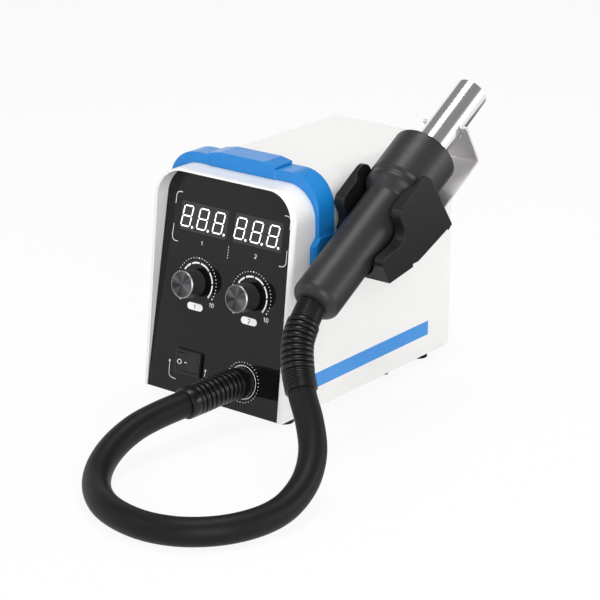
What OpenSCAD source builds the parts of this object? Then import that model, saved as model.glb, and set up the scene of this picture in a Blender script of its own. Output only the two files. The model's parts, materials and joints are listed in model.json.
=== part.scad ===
// Hot air rework station: a bench unit with a blower, a hose and a heated
// handpiece that lies in a cradle on the unit's right side.
// Millimetres, +Z up, front panel towards -Y, cradle on the +X side.
// Inside the file the unit is drawn from the foot of its front panel: x = 0 is
// the middle of the housing, y = 0 and z = 0 the panel's bottom edge. set_down()
// then puts the origin at the bottom centre of the outline, on the bench.

/* [Housing] */
// Width of the housing, without the trim band
body_w = 111.6; // [104:0.2:126]
// Height of the housing, without its feet
body_h = 141.5; // [136:0.5:156]
// Depth from the foot of the front panel to the back edge
body_d = 178.9; // [170:0.1:210]
// Radius of the two upper long edges
corner_r = 20.5; // [16:0.5:26]
// Thickness of the steel sheet of cover, base and back
sheet_t = 1.2; // [0.8:0.1:1.6]
// Depth at which the front frame meets the cover, under the trim band
seam_y = 41; // [39:0.5:44]
// Radius of the lower back corners of the cover, seen from the side
heel_r = 3; // [1:0.5:6]
// Gap between pieces that seat on each other
seat_gap = 0.1; // [0.05:0.05:0.2]

/* [Front frame and panel] */
// Lean of the front panel, back from the vertical
panel_lean = 10.9; // [6:0.1:14]
// Thickness of the front panel
panel_t = 2; // [1.5:0.1:3]
// Thickness of the side walls of the front frame
frame_side_t = 3.3; // [2.4:0.1:4]
// Thickness of the top wall of the front frame
frame_top_t = 1.4; // [1.2:0.1:2.4]
// How far the hood's rim comes forward of the upright at the top
rim_lean = 6.5; // [4:0.1:9]
// Width of the ledge that carries the panel
ledge_w = 4; // [3:0.5:6]
// Thickness of the ledge
ledge_t = 3; // [2:0.5:4]

/* [Trim band] */
// Front edge of the band
band_y = 33.3; // [31:0.1:36]
// Width of the band along the unit
band_w = 15.2; // [12:0.1:17]
// How far the band stands proud at the sides
band_side = 3; // [2:0.1:4]
// How far the band stands proud on top
band_top = 6.7; // [4:0.1:8]
// How far the raised block on top stands above the band
block_rise = 3.2; // [2:0.1:5]
// Length of the raised block across the unit
block_l = 52; // [40:1:60]
// How far the side grips reach past the band's edges
grip_step = 5.2; // [3:0.1:6]
// How far the side grips stand proud of the housing
grip_side = 4.4; // [3.6:0.1:4.6]
// Distance from the housing's top down to the side grips
grip_drop = 30.5; // [24:0.5:36]
// Length of the side grips, down the housing
grip_l = 47; // [40:0.5:54]

/* [Displays] */
// Width of a three-digit display
disp_w = 37.6; // [34:0.1:40]
// Height of a three-digit display
disp_h = 18.6; // [17:0.1:21]
// Depth of a display, back to its board
disp_depth = 8; // [7:0.1:9]
// Gap between the two displays
disp_gap = 5.1; // [3:0.1:8]
// Distance from the panel's top edge down to the displays
disp_drop = 21.3; // [18:0.1:25]

/* [Control knobs] */
// Distance of each knob from the middle
knob_u = 21.6; // [19:0.1:24]
// Distance from the displays' lower edge down to the knobs' axes
knob_drop = 30.5; // [28:0.1:34]
// Diameter of a knob
knob_d = 17.6; // [14:0.1:20]
// Height of a knob over the panel
knob_h = 14.6; // [11:0.1:18]
// Thickness of the metal cap of a knob
knob_cap_t = 2.4; // [1.6:0.1:4]
// Diameter of the potentiometer shaft
shaft_d = 6; // [5:0.1:6.4]
// Running clearance round a shaft, on the radius
running_gap = 0.05; // [0.03:0.01:0.09]

/* [Power switch] */
// Distance of the switch from the middle
switch_u = -20.6; // [-24:0.1:-18]
// Height of the switch, up the panel
switch_v = 21.4; // [18:0.1:26]
// Width of the switch bezel
switch_w = 21.4; // [19:0.1:23]
// Height of the switch bezel
switch_hgt = 16; // [14:0.1:17]
// How far the bezel stands off the panel
switch_rise = 2.1; // [1.6:0.1:3]
// Tilt of the rocker to each side
rocker_tilt = 7; // [5:0.5:9]

/* [Hose] */
// Distance of the hose port from the middle
port_u = 22.7; // [20:0.1:25]
// Height of the hose port, up the panel
port_v = 18.9; // [18:0.1:22]
// Outer diameter of the hose
hose_d = 16.5; // [14:0.1:17.5]
// Outer diameter of the ribbed sleeves at its ends
sleeve_d = 19.6; // [18:0.1:21]
// Pitch of the ribs of a sleeve
rib_pitch = 3.6; // [3:0.1:4.4]

/* [Handpiece] */
// Distance of the handpiece's axis from the housing's right wall
gun_out = 29.2; // [28.8:0.1:34]
// Depth of the handpiece's tail end
gun_y = -7.5; // [-12:0.1:-4]
// Distance from the housing's top down to the middle of the tail end
gun_drop = 56.5; // [52:0.1:62]
// Rise of the handpiece's axis over the horizontal
gun_rise = 30.6; // [28:0.1:33]
// Diameter of the grip
grip_d = 30; // [27:0.1:30.6]
// Diameter of the head
head_d = 41.6; // [38:0.1:42]
// Distance from the tail end to the head's back edge
head_from = 86; // [84:0.5:88]
// Distance from the tail end to the head's front edge
head_to = 131.2; // [126:0.1:136]
// Rounding of the tail end
tail_r = 6; // [4:0.1:8]
// Wall of the grip and head mouldings
shell_t = 2.2; // [1.8:0.1:3]
// Diameter of the steel barrel
barrel_d = 21.8; // [20:0.1:22.2]
// Distance from the tail end to the barrel's open end
barrel_to = 188; // [180:0.5:196]
// Wall of the steel barrel
barrel_t = 0.8; // [0.5:0.1:1.2]

/* [Cradle and barrel rest] */
// Outer width of the cradle
cradle_w = 49; // [48.4:0.1:52]
// Clearance of the grip in the cradle, at its seat
cradle_gap = 0.3; // [0.2:0.05:0.5]
// Half width of the channel between the cheeks
channel_half = 17.4; // [16.4:0.1:18]
// Diameter of the bosses that carry the cradle
boss_d = 11; // [9:0.5:13]
// Width of the steel barrel rest
rest_w = 32; // [28:0.5:36]
// Thickness of the barrel rest
rest_t = 1.2; // [1:0.1:1.6]
// Distance of the fork from the tail end
fork_at = 156; // [150:0.5:162]

/* [Feet and screws] */
// Height of the rubber feet
foot_h = 6; // [4:0.5:10]
// Diameter of the rubber feet
foot_d = 13; // [11:0.5:16]
// Distance of the feet from the middle
foot_x = 44.5; // [40:0.5:46]
// Depth of the front feet
foot_front_y = 17.5; // [14:0.5:22]
// Depth of the rear feet, in front of the back edge
foot_back = 18.4; // [15:0.2:28]
// Diameter of the small machine screws
screw_d = 3; // [2.5:0.1:3.2]
// Diameter of the heads of the small screws
screw_head_d = 5.6; // [5:0.1:6.4]

/* [Inside] */
// Outer diameter of the blower wheel
wheel_d = 44; // [38:1:46]
// Height of the blower wheel
wheel_h = 12; // [9:0.5:14]
// Number of blades of the blower wheel
wheel_blades = 11; // [7:2:15]
// Width of the transformer core
core_w = 48; // [40:1:50]
// Height of the transformer core
core_h = 40; // [34:1:46]
// Stack of the transformer core
core_t = 24; // [18:1:30]

/* [Hidden] */

$fn = 64;
SIDES = [-1, 1];

// Where the origin lies: the bottom centre of the outline without the hose
gun_run = cos(gun_rise);
gun_up = sin(gun_rise);
grip_r = grip_d / 2;
head_r = head_d / 2;
tail_front = gun_y + tail_r * gun_run - (grip_r - tail_r) * gun_up - tail_r;
gun_x = body_w / 2 + gun_out;
gun_z = body_h - gun_drop;
cradle_x0 = gun_x - cradle_w / 2;
cradle_x1 = gun_x + cradle_w / 2;
grip_x = body_w / 2 + grip_side;
origin_x = (cradle_x1 - grip_x) / 2;
origin_y = (body_d + tail_front) / 2;

// Front frame and panel
inner_w = body_w - 2 * sheet_t - 2 * seat_gap;
frame_in_w = body_w - 2 * frame_side_t;
frame_in_h = body_h - frame_top_t;
frame_in_r = corner_r - frame_side_t + 0.6;
frame_floor_t = 2;
rim_start = -0.2;
rim_round = 2.4;
spigot_l = 6;
spigot_t = 1.8;
panel_gap = 0.15;
post_u = frame_in_w / 2 - 6;
post_d = 7;
disp_back = 0.15 + disp_depth;
board_t = 1.6;
board_h = -(disp_back + seat_gap);
board_w = frame_in_w - 5;
lean_up = cos(panel_lean);
lean_back = sin(panel_lean);
panel_top_v = frame_in_h / lean_up;
disp_v = panel_top_v - disp_drop - disp_h;
knob_v = disp_v - knob_drop;
board_v0 = knob_v - 28.3;
board_v1 = disp_v + disp_h + 9;
post_v = [board_v0 + 6, board_v1 - 4.4];
grip_top = body_h - grip_drop;
grip_bottom = grip_top - grip_l;

// Knobs and potentiometers
pot_w = 10;
pot_l = 12;
pot_front = -(panel_t + 0.4);
pot_back = -disp_back;
shaft_in = pot_back + 1;
shaft_out = knob_h - knob_cap_t - 1.6;
knob_lift = 0.6;
knob_base_h = 2;
knob_flare = 1.2;
shaft_hole_d = shaft_d + 1.2;
flat_from = 0.3;
flat_at = shaft_d / 4;

// Switch
rocker_gap = 0.3;
wall_u = 2.4;
wall_v = 2.1;
switch_open_u = switch_w - 2 * wall_u;
switch_open_v = switch_hgt - 2 * wall_v;
switch_body_u = switch_w - 2.2;
switch_body_v = switch_hgt - 2.2;
switch_depth = 17;
rocker_h = -0.6;
rocker_r = switch_open_u / 2 - rocker_gap;
rocker_pin_r = 1.4;

// Hose port: a flanged spigot through the panel with a nut behind
port_flange_d = sleeve_d - 0.6;
port_flange_t = 1.5;
port_tube_d = 13;
port_bore_d = 9.4;
port_in = 14;
nut_d = 22;
nut_t = 4;

// Cradle screws, the rest's slot and its screws, from the handpiece's tail end
CRADLE_SCREWS = [[72, 16.5], [94, 24.4]];
pocket_from = head_from + 0.5;
pocket_to = head_from + 6.5;
rest_slot_y = head_r + 4.6;
rest_slot_gap = 0.1;
rest_from = 94;
rest_screw_x = 8;
rest_screw_z = 100;
rest_seat_y = rest_slot_y + 3.4;

// Screws
screw_r = screw_d / 2;
screw_hole_r = screw_r + 0.2;
thread_gap = 0.05;
head_h = 1.8;
rear_y = body_d - 2.4;
back_flange_y = rear_y - 2 * sheet_t - seat_gap;
lip_w = 22;
base_z = sheet_t + seat_gap;
base_top = base_z + sheet_t;
FEET = [for (s = SIDES, y = [foot_front_y, body_d - foot_back]) [s * foot_x, y]];
COVER_SCREWS_Y = seam_y + 4;
COVER_SCREWS_Z = (grip_top + grip_bottom) / 2;

// Power board along the left wall, measured from the wall and the back flange
power_w = 26;
power_l = 96;
power_z = 10;
power_side = 3.5;
power_behind = 18;
power_x = -inner_w / 2 + power_side + power_w / 2;
power_y = back_flange_y - power_behind - power_l / 2;
pillar_in = 4;
cap_d = 11;
cap_h = 18;
cap_pitch = 14;
relay = [16, 9, 12];
filter_coil = [14, 8, 10];
sink_w = 20;
sink_h = 26;
fin_t = 1;
fin_pitch = 2.4;
fin_w = 12;

// Blower beside the power board, transformer in the right rear corner
motor_d = 28;
motor_h = 10;
scroll_z = base_top + motor_h;
scroll_wall = 2;
scroll_h = wheel_h + 6;
scroll_in_r = wheel_d / 2 + 2;
scroll_gap = 1.7;
blower_x = power_x + power_w / 2 + scroll_gap + scroll_in_r + scroll_wall;
blower_y = 86;
outlet_x = port_u - blower_x;
outlet_w = 13;
outlet_z = scroll_z + scroll_wall + scroll_h / 2 - 1;
outlet_y = blower_y - scroll_in_r - 6;
duct_d = 17;
duct_in_d = port_tube_d + 0.3;
trafo_bolt_x = 9.5;
trafo_bolt_y = 24;
trafo_foot_w = 28;
trafo_foot_t = 1.4;
trafo_side = 2.5;
trafo_behind = 6;
trafo_bolt_r = 2;
bolt_head_d = 8.4;
bolt_head_h = 3;
washer_t = 0.8;
trafo_nut_d = 7.6;
coil_wall = 2.6;
trafo_hole_r = trafo_bolt_r + 0.2;
limb_h = 9;
window_w = 10;
trafo_x = inner_w / 2 - trafo_side - trafo_foot_w / 2;
trafo_y = back_flange_y - trafo_behind - trafo_bolt_y - 4;
vent_w = 3;
vent_l = 20;
vent_pitch = 7;
VENT_ROWS_Y = [blower_y - 16, trafo_y + 4];

// The back: mains inlet, fuse and air slots
inlet_side = 26.5;
inlet_x = -inner_w / 2 + inlet_side;
inlet_z = 60;
inlet_w = 28;
inlet_h = 21;
inlet_depth = 20;
blade_pitch = 7;
fuse_x = 0;
fuse_z = inlet_z;
fuse_d = 12;
slot_w = 3;
slot_l = 22;
slot_pitch = 6.5;
slot_rows = 28;
slots_z = body_h - 49.5;
flange_h = 16;
flange_screw_x = 36;
flange_screw_z = 10;

// The hose's middle line between its two ends: x and y from the foot of the
// front panel, and the height above the height at which it lies on the bench
HOSE_ROUTE = [
  [22, -14, 18], [20, -31, 17], [17, -48, 16], [14, -65, 14.5], [12, -82, 12],
  [13, -100, 8], [18, -117, 4], [27, -132, 1], [40, -145, 0], [56, -155, 0],
  [74, -160, 0], [92, -160, 0], [109, -154, 0], [123, -142, 0],
  [132, -126, 0], [136, -108, 0.5], [136.5, -92, 3.5], [133.5, -75, 10],
  [127, -61, 20], [117, -51, 32], [106, -44, 45], [96.5, -36, 57.5],
  [89.5, -26, 69]];
hose_r = hose_d / 2;
sleeve_r = sleeve_d / 2;
lying_z = -foot_h + hose_r;
port_sleeve_l = 49;
port_collar = 8;
end_collar = 7;
fine_pitch = 1.5;
fine_rings = 7;
gun_sleeve_l = 57;
// Length of the route per unit of t at its two ends
port_step = 17.4;
gun_step = 19.4;
PORT_P = [port_u, port_v * lean_back, port_v * lean_up];
TAIL_P = [gun_x, gun_y, gun_z];

function unit(a) = a / norm(a);

// All points of the route, from the port to the handpiece's tail end
ROUTE = concat([PORT_P], [for (p = HOSE_ROUTE) [p.x, p.y, lying_z + p.z]], [TAIL_P]);
LAST = len(ROUTE) - 1;
OUT_DIR = [0, -lean_up, lean_back];
GUN_DIR = [0, gun_run, gun_up];
// The curve leaves the port and enters the tail end straight
PADDED = concat([PORT_P - 18 * OUT_DIR], ROUTE, [TAIL_P + 18 * GUN_DIR]);
function cubic(a, b, c, d, t) =
  0.5 * (2 * b + (c - a) * t + (2 * a - 5 * b + 4 * c - d) * t * t
         + (3 * b - a - 3 * c + d) * t * t * t);
function along(t) = let (i = min(floor(t), LAST - 1))
  cubic(PADDED[i], PADDED[i + 1], PADDED[i + 2], PADDED[i + 3], t - i);
function heading(t) = t < 0.2 ? OUT_DIR : t > LAST - 0.01 ? GUN_DIR
  : unit(along(t + 0.02) - along(t - 0.02));
t_port = port_sleeve_l / port_step;
t_gun = LAST - gun_sleeve_l / gun_step;

// A round tube along the route: each ring is [t, radius], carried forward
// from ring to ring without twisting
function carried(r, i) = i == 0
  ? unit(cross(heading(r[0][0]), [0.3, 0.5, 0.9]))
  : let (u = carried(r, i - 1), t = heading(r[i][0])) unit(u - (u * t) * t);
module tube_along(r, sides) {
  n = len(r);
  rings = [for (i = [0 : n - 1])
    let (u = carried(r, i), w = cross(heading(r[i][0]), u))
    for (k = [0 : sides - 1]) let (a = 360 * k / sides)
      along(r[i][0]) + r[i][1] * (cos(a) * u + sin(a) * w)];
  polyhedron(rings, concat(
    [[for (k = [sides - 1 : -1 : 0]) k]],
    [for (i = [0 : n - 2], k = [0 : sides - 1]) let (j = (k + 1) % sides)
      [i * sides + k, i * sides + j, (i + 1) * sides + j, (i + 1) * sides + k]],
    [[for (k = [0 : sides - 1]) (n - 1) * sides + k]]), convexity = 8);
}
// Rings of n ribs from t, each rib one pitch long
function ribs(t, n, pitch, low, high) = [for (i = [0 : n - 1], q =
  [[0, low], [0.12, high], [0.62, high], [0.74, low]]) [t + (i + q[0]) * pitch, q[1]]];

// An outline whose corners are [x, y, radius], each rounded by an arc
function corner_arc(a, p, b, r) = r == 0 ? [p] :
  let (u = unit(a - p), v = unit(b - p), half = acos(u * v) / 2,
       centre = p + unit(u + v) * (r / sin(half)),
       from = p + u * (r / tan(half)) - centre, to = p + v * (r / tan(half)) - centre,
       a0 = atan2(from.y, from.x), turn = atan2(cross(from, to), from * to),
       n = max(3, ceil(abs(turn) / 9)))
  [for (i = [0 : n]) let (w = a0 + turn * i / n) centre + r * [cos(w), sin(w)]];
function rounded_outline(c) = let (n = len(c)) [for (i = [0 : n - 1])
  let (a = c[(i + n - 1) % n], p = c[i], b = c[(i + 1) % n])
    each corner_arc([a.x, a.y], [p.x, p.y], [b.x, b.y], p.z)];

// Places
module set_down() { translate([-origin_x, -origin_y, foot_h]) children(); }
// u across, v up the panel, h out of its face
module on_panel(u = 0, v = 0) {
  set_down() rotate([90 - panel_lean, 0, 0]) translate([u, v, 0]) children();
}
// z along the handpiece from its tail end, y down through the cradle
module on_gun() {
  set_down() translate([gun_x, gun_y, gun_z]) rotate([gun_rise - 90, 0, 0])
    children();
}
// An outline drawn in x and z, drawn out from y0 to y1
module along_y(y0, y1) {
  translate([0, y1, 0]) rotate([90, 0, 0]) linear_extrude(y1 - y0) children();
}
// An outline drawn in y and z, drawn out from x0 to x1
module along_x(x0, x1) {
  translate([x0, 0, 0]) rotate([90, 0, 90]) linear_extrude(x1 - x0) children();
}
// A cylinder from point p to point q
module rod(p, q, d) {
  v = q - p;
  translate(p) rotate([0, acos(v.z / norm(v)), atan2(v.y, v.x)])
    cylinder(h = norm(v), d = d);
}
module slot2d(w, l) {
  translate([-w / 2, -l / 2 + w / 2]) square([w, l - w]);
  for (s = SIDES) translate([0, s * (l / 2 - w / 2)]) circle(w / 2);
}
module rounded(w, l, r) {
  translate([-w / 2 + r, -l / 2]) square([w - 2 * r, l]);
  translate([-w / 2, -l / 2 + r]) square([w, l - 2 * r]);
  for (i = SIDES, j = SIDES) translate([i * (w / 2 - r), j * (l / 2 - r)]) circle(r);
}
// A pan head screw: its head sits on z = 0, its shank goes to z = -l
module screw(l, head_d = screw_head_d, h = head_h) {
  translate([0, 0, -l]) cylinder(h = l + 0.5, r = screw_r);
  difference() {
    cylinder(h = h, d = head_d);
    translate([0, 0, h - 0.7]) linear_extrude(1)
      for (a = [0, 90]) rotate(a) square([head_d * 0.62, 0.8], center = true);
  }
}

// Outline of the housing from the front: upright sides, rounded top edges
module arch(w, h, r, z0 = 0) {
  translate([-w / 2, z0]) square([w, h - r - z0]);
  translate([-w / 2 + r, z0]) square([w - 2 * r, h - z0]);
  for (s = SIDES) translate([s * (w / 2 - r), h - r]) circle(r);
}
module frame_inside(less = 0, z0 = 0) {
  arch(frame_in_w - 2 * less, frame_in_h - less, frame_in_r - less, z0);
}
// A slab parallel to the panel, from h0 to h1
module panel_slab(h0, h1) {
  rotate([90 - panel_lean, 0, 0]) translate([-100, -40, h0]) cube([200, 240, h1 - h0]);
}

// The housing

module housing_cover() color("#f1f1ee") set_down() difference() {
  union() {
    difference() {
      along_y(seam_y + seat_gap, body_d) arch(body_w, body_h, corner_r);
      along_y(seam_y - 5, body_d + 5)
        arch(body_w - 2 * sheet_t, body_h - sheet_t, corner_r - sheet_t, -5);
    }
    // Lips turned in under the base plate
    for (s = SIDES) translate([s * (body_w - lip_w) / 2, (seam_y + body_d) / 2 + 1, 0])
      translate([-lip_w / 2, -(body_d - seam_y - 6) / 2, 0])
        cube([lip_w, body_d - seam_y - 6, sheet_t]);
  }
  // Rounded lower back corners
  difference() {
    translate([-body_w, body_d - heel_r, -1]) cube([2 * body_w, heel_r + 1, heel_r + 1]);
    translate([-body_w - 1, body_d - heel_r, heel_r]) rotate([0, 90, 0])
      cylinder(h = 2 * body_w + 2, r = heel_r);
  }
  for (p = FEET) translate([p.x, p.y, -1]) cylinder(h = 4, r = screw_hole_r);
  transformer_places() translate([0, 0, -1]) cylinder(h = 4, r = trafo_hole_r);
  for (s = SIDES) translate([s * body_w / 2, COVER_SCREWS_Y, COVER_SCREWS_Z])
    rotate([0, -90 * s, 0]) translate([0, 0, -1]) {
      cylinder(h = 4, r = screw_hole_r);
      translate([0, 0, 0.9]) cylinder(h = 1.3, d1 = screw_head_d + 0.4, r2 = screw_hole_r);
    }
  for (p = CRADLE_SCREWS) cradle_screw_place(p) translate([0, 0, -8])
    cylinder(h = 12, r = screw_hole_r);
}

module front_frame() color("#f1f1ee") set_down() {
  difference() {
    intersection() {
      along_y(-5, seam_y) arch(body_w, body_h, corner_r);
      frame_rim();
    }
    along_y(-10, seam_y + 1) frame_inside(0, frame_floor_t);
    // The panel's seat reaches down through the floor
    intersection() {
      along_y(-10, seam_y) frame_inside(0, -1);
      panel_slab(-panel_t - 0.2, 20);
    }
    for (s = SIDES) translate([s * foot_x, foot_front_y, -1])
      cylinder(h = 8, r = screw_r + thread_gap);
  }
  frame_ledge();
  frame_spigot();
  for (s = SIDES) translate([s * foot_x, foot_front_y, 1]) difference() {
    cylinder(h = 6, d = 9);
    translate([0, 0, -1]) cylinder(h = 8, r = screw_r + thread_gap);
  }
}
// The hood's rim leans forward at the top less than the panel, and is rounded
module frame_rim() {
  arch_h = body_h / cos(rim_lean);
  hull() {
    translate([0, rim_start, 0]) rotate([-rim_lean, 0, 0])
      for (q = [[0, 1], [0.12, 0.62], [0.34, 0.29], [0.65, 0.07], [1, 0]])
        along_y(q[0] * rim_round, q[0] * rim_round + 0.05)
          arch(body_w - 2 * q[1] * rim_round, arch_h - q[1] * rim_round,
               corner_r - q[1] * rim_round, -0.5, $fn = 48);
    along_y(seam_y - 1, seam_y + 1) arch(body_w, body_h, corner_r, -0.5, $fn = 48);
  }
}
module frame_ledge() {
  difference() {
    intersection() {
      along_y(-5, seam_y) arch(body_w - 2, body_h - 0.6, corner_r - 1);
      panel_slab(-panel_t - 0.2 - ledge_t, -panel_t - 0.2);
    }
    along_y(-10, seam_y + 5) frame_inside(ledge_w, ledge_w + 1);
  }
  // Posts behind the panel that carry the control board
  rotate([90 - panel_lean, 0, 0]) for (s = SIDES, v = post_v)
    translate([s * post_u, v, 0]) difference() {
      union() {
        translate([0, 0, board_h + seat_gap])
          cylinder(h = -board_h - seat_gap - panel_t - 0.2, d = post_d);
        translate([s > 0 ? 0 : -frame_in_w / 2 + post_u - 1, -2, board_h + seat_gap])
          cube([frame_in_w / 2 - post_u + 1, 4, -board_h - seat_gap - panel_t - 0.2]);
      }
      translate([0, 0, board_h - 1]) cylinder(h = 5.5, r = screw_r + thread_gap);
    }
}
// A spigot behind the seam, inside the cover
module frame_spigot() {
  difference() {
    union() {
      along_y(seam_y - 3, seam_y + spigot_l)
        arch(inner_w, body_h - sheet_t - seat_gap, corner_r - sheet_t - seat_gap, 5);
    }
    along_y(seam_y - 4, seam_y + spigot_l + 1)
      arch(inner_w - 2 * spigot_t, body_h - sheet_t - seat_gap - spigot_t,
           corner_r - sheet_t - seat_gap - spigot_t, 0);
    for (s = SIDES) translate([s * body_w / 2, COVER_SCREWS_Y, COVER_SCREWS_Z])
      rotate([0, -90 * s, 0]) cylinder(h = 12, r = screw_r + thread_gap);
  }
  for (s = SIDES) translate([s * (inner_w / 2 - spigot_t), COVER_SCREWS_Y, COVER_SCREWS_Z])
    rotate([0, -90 * s, 0]) translate([0, 0, -0.6]) difference() {
      cylinder(h = 4.6, d = 3.8 + spigot_l / 2 - 1);
      translate([0, 0, -1]) cylinder(h = 8, r = screw_r + thread_gap);
    }
}

module trim_band() color("#2f86d8") set_down() difference() {
  union() {
    intersection() {
      along_y(band_y, band_y + band_w)
        arch(body_w + 2 * band_side, body_h + band_top, corner_r + 1.5);
      translate([-100, 0, grip_bottom]) cube([200, 80, 120]);
    }
    // The raised block on top, with its ends cut back at an angle
    intersection() {
      along_y(band_y - 1, band_y + band_w + 1) polygon(concat(
        BLOCK_SIDE, [for (i = [len(BLOCK_SIDE) - 1 : -1 : 0]) [-BLOCK_SIDE[i].x, BLOCK_SIDE[i].y]]));
      translate([0, 0, body_h - 6]) linear_extrude(30) polygon(concat(
        BLOCK_PLAN, [for (p = BLOCK_PLAN) [-p.x, 2 * band_y + band_w - p.y]]));
    }
    for (s = SIDES) side_grip(s);
  }
  along_y(0, 90) arch(body_w + 0.2, body_h + 0.1, corner_r + 0.1, -1);
}
// Half of the block from the front: an undercut end, a ramp and the flat top
BLOCK_SIDE = [
  [block_l / 2 + 0.5, body_h - 5], [block_l / 2 + 0.5, body_h + band_top - 0.6],
  [block_l / 2 - 0.6, body_h + band_top - 0.6], [block_l / 2 - 0.6, body_h + band_top + 0.4],
  [block_l / 2 + 0.5, body_h + band_top + 0.4], [block_l / 2 + 0.3, body_h + band_top + 1.5],
  [block_l / 3, body_h + band_top + block_rise]];
BLOCK_PLAN = [
  [-block_l / 2 - 0.5, band_y], [-block_l / 2 + 0.5, band_y - 1],
  [block_l / 2 - 0.5, band_y - 1], [block_l / 2 + 0.5, band_y]];
// A side grip reaches past both edges of the band and ends in two ramps
module side_grip(s) {
  y0 = band_y - grip_step;
  y1 = band_y + band_w + grip_step;
  x0 = body_w / 2 - 1;
  intersection() {
    along_x(s > 0 ? x0 : -grip_x, s > 0 ? grip_x : -x0) polygon([
      [y0, grip_bottom + grip_step], [band_y, grip_bottom],
      [band_y + band_w, grip_bottom], [y1, grip_bottom + grip_step],
      [y1, grip_top - grip_step], [band_y + band_w, grip_top],
      [band_y, grip_top], [y0, grip_top - grip_step]]);
    // The long outer edges are chamfered
    translate([0, 0, grip_bottom - 1]) linear_extrude(grip_top - grip_bottom + 2)
      polygon([for (p = [[x0 - 1, y0], [grip_x - 1.8, y0], [grip_x, y0 + 1.8],
                         [grip_x, y1 - 1.8], [grip_x - 1.8, y1], [x0 - 1, y1]])
               [s * p.x, p.y]]);
  }
}

module base_plate() color("#c9ccd0") set_down() difference() {
  union() {
    translate([-inner_w / 2, seam_y + 0.6, base_z])
      cube([inner_w, back_flange_y - seam_y - 0.6 + sheet_t, sheet_t]);
    // The flange that the back is screwed to
    translate([-inner_w / 2 + 6, back_flange_y, base_z])
      cube([inner_w - 12, sheet_t, flange_h]);
    for (p = POWER_PILLARS) translate([p.x, p.y, base_z])
      cylinder(h = power_z - base_z - seat_gap, d = 6);
  }
  for (p = POWER_PILLARS) translate([p.x, p.y, base_top + 1])
    cylinder(h = 20, r = screw_r + thread_gap);
  for (p = FEET) translate([p.x, p.y, 0]) cylinder(h = 4, r = screw_r + thread_gap);
  transformer_places() cylinder(h = 6, r = trafo_hole_r);
  for (s = SIDES) translate([s * flange_screw_x, back_flange_y - 1, flange_screw_z]) rotate([-90, 0, 0])
    cylinder(h = 4, r = screw_r + thread_gap);
  // Rows of slots that let air in under the blower
  for (i = [-3 : 3], y = VENT_ROWS_Y) translate([i * vent_pitch - 0.5, y, 0])
    linear_extrude(5) slot2d(vent_w, vent_l);
}
POWER_PILLARS = [for (i = SIDES, j = SIDES)
  [power_x + i * (power_w / 2 - pillar_in), power_y + j * (power_l / 2 - pillar_in)]];
// Two bolts hold the transformer, at opposite corners of its foot
module transformer_places() {
  for (i = SIDES)
    translate([trafo_x + i * trafo_bolt_x, trafo_y - i * trafo_bolt_y, 0]) children();
}

module rear_panel() color("#f1f1ee") set_down() difference() {
  along_y(rear_y - sheet_t, rear_y) arch(
    inner_w, body_h - sheet_t - seat_gap, corner_r - sheet_t - seat_gap, base_z);
  // Air slots in two rows
  for (i = [-6 : 6], j = [0, 1])
    translate([i * slot_pitch, rear_y + 1, slots_z + slot_rows * j])
      rotate([90, 0, 0]) linear_extrude(4) slot2d(slot_w, slot_l);
  translate([inlet_x, rear_y + 1, inlet_z]) rotate([90, 0, 0])
    linear_extrude(4) rounded(inlet_w - 1.4, inlet_h - 1.4, 2);
  translate([fuse_x, rear_y + 1, fuse_z]) rotate([90, 0, 0]) cylinder(h = 4, d = fuse_d + 0.4);
  for (s = SIDES) translate([s * flange_screw_x, rear_y + 1, flange_screw_z]) rotate([90, 0, 0])
    cylinder(h = 4, r = screw_hole_r);
}

// The front panel and what it carries

module front_panel() color("#17181a") set_down() difference() {
  intersection() {
    along_y(-10, seam_y) frame_inside(panel_gap, 0.2);
    panel_slab(-panel_t, 0);
  }
  rotate([90 - panel_lean, 0, 0]) {
    for (s = SIDES) translate([s * (disp_w + disp_gap) / 2, disp_v + disp_h / 2, -5])
      linear_extrude(10) square([disp_w + 0.3, disp_h + 0.3], center = true);
    for (s = SIDES) translate([s * knob_u, knob_v, -5]) cylinder(h = 10, d = shaft_hole_d);
    translate([switch_u, switch_v, -5]) linear_extrude(10)
      square([switch_body_u + 0.4, switch_body_v + 0.4], center = true);
    translate([port_u, port_v, -5]) cylinder(h = 10, d = port_tube_d + 0.4);
  }
}

// One character of a display is 7 bars and a point, sunk a little in its face
module digit() {
  w = 7;
  h = 13;
  t = 1;
  for (x = SIDES, y = SIDES) translate([x * w / 2, y * h / 4])
    bar(h / 2 - t * 0.8, t, 90);
  for (y = [-1 : 1]) translate([0, y * h / 2]) bar(w - t * 0.8, t, 0);
  translate([w / 2 + 2.3, -h / 2]) circle(d = 1.6, $fn = 24);
}
module bar(l, t, a) rotate(a) polygon([
  [-l / 2, 0], [-l / 2 + t / 2, t / 2], [l / 2 - t / 2, t / 2],
  [l / 2, 0], [l / 2 - t / 2, -t / 2], [-l / 2 + t / 2, -t / 2]]);
module display(s) color("#2a2b2e")
  on_panel(s * (disp_w + disp_gap) / 2, disp_v + disp_h / 2) difference() {
    translate([-disp_w / 2, -disp_h / 2, -disp_back]) cube([disp_w, disp_h, disp_depth]);
    for (i = [-1 : 1]) translate([i * disp_w / 2.95 - 0.9, 0, -0.15 - 0.2])
      linear_extrude(1) multmatrix([[1, 0.16, 0, 0], [0, 1, 0, 0]]) digit();
  }
module display_left() display(-1);
module display_right() display(1);

module control_board() color("#2f6b3a") on_panel() difference() {
  union() {
    translate([0, (board_v0 + board_v1) / 2, board_h - board_t]) linear_extrude(board_t)
      rounded(board_w, board_v1 - board_v0, 4);
    translate([-28, board_v0 + 8, board_h - board_t - 2.4]) cube([14, 14, 2.8]);
    translate([8, board_v0 + 6, board_h - board_t - 8]) cube([24, 6, 8.4]);
  }
  for (s = SIDES, v = post_v) translate([s * post_u, v, board_h - 5])
    cylinder(h = 10, r = screw_hole_r);
}

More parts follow.
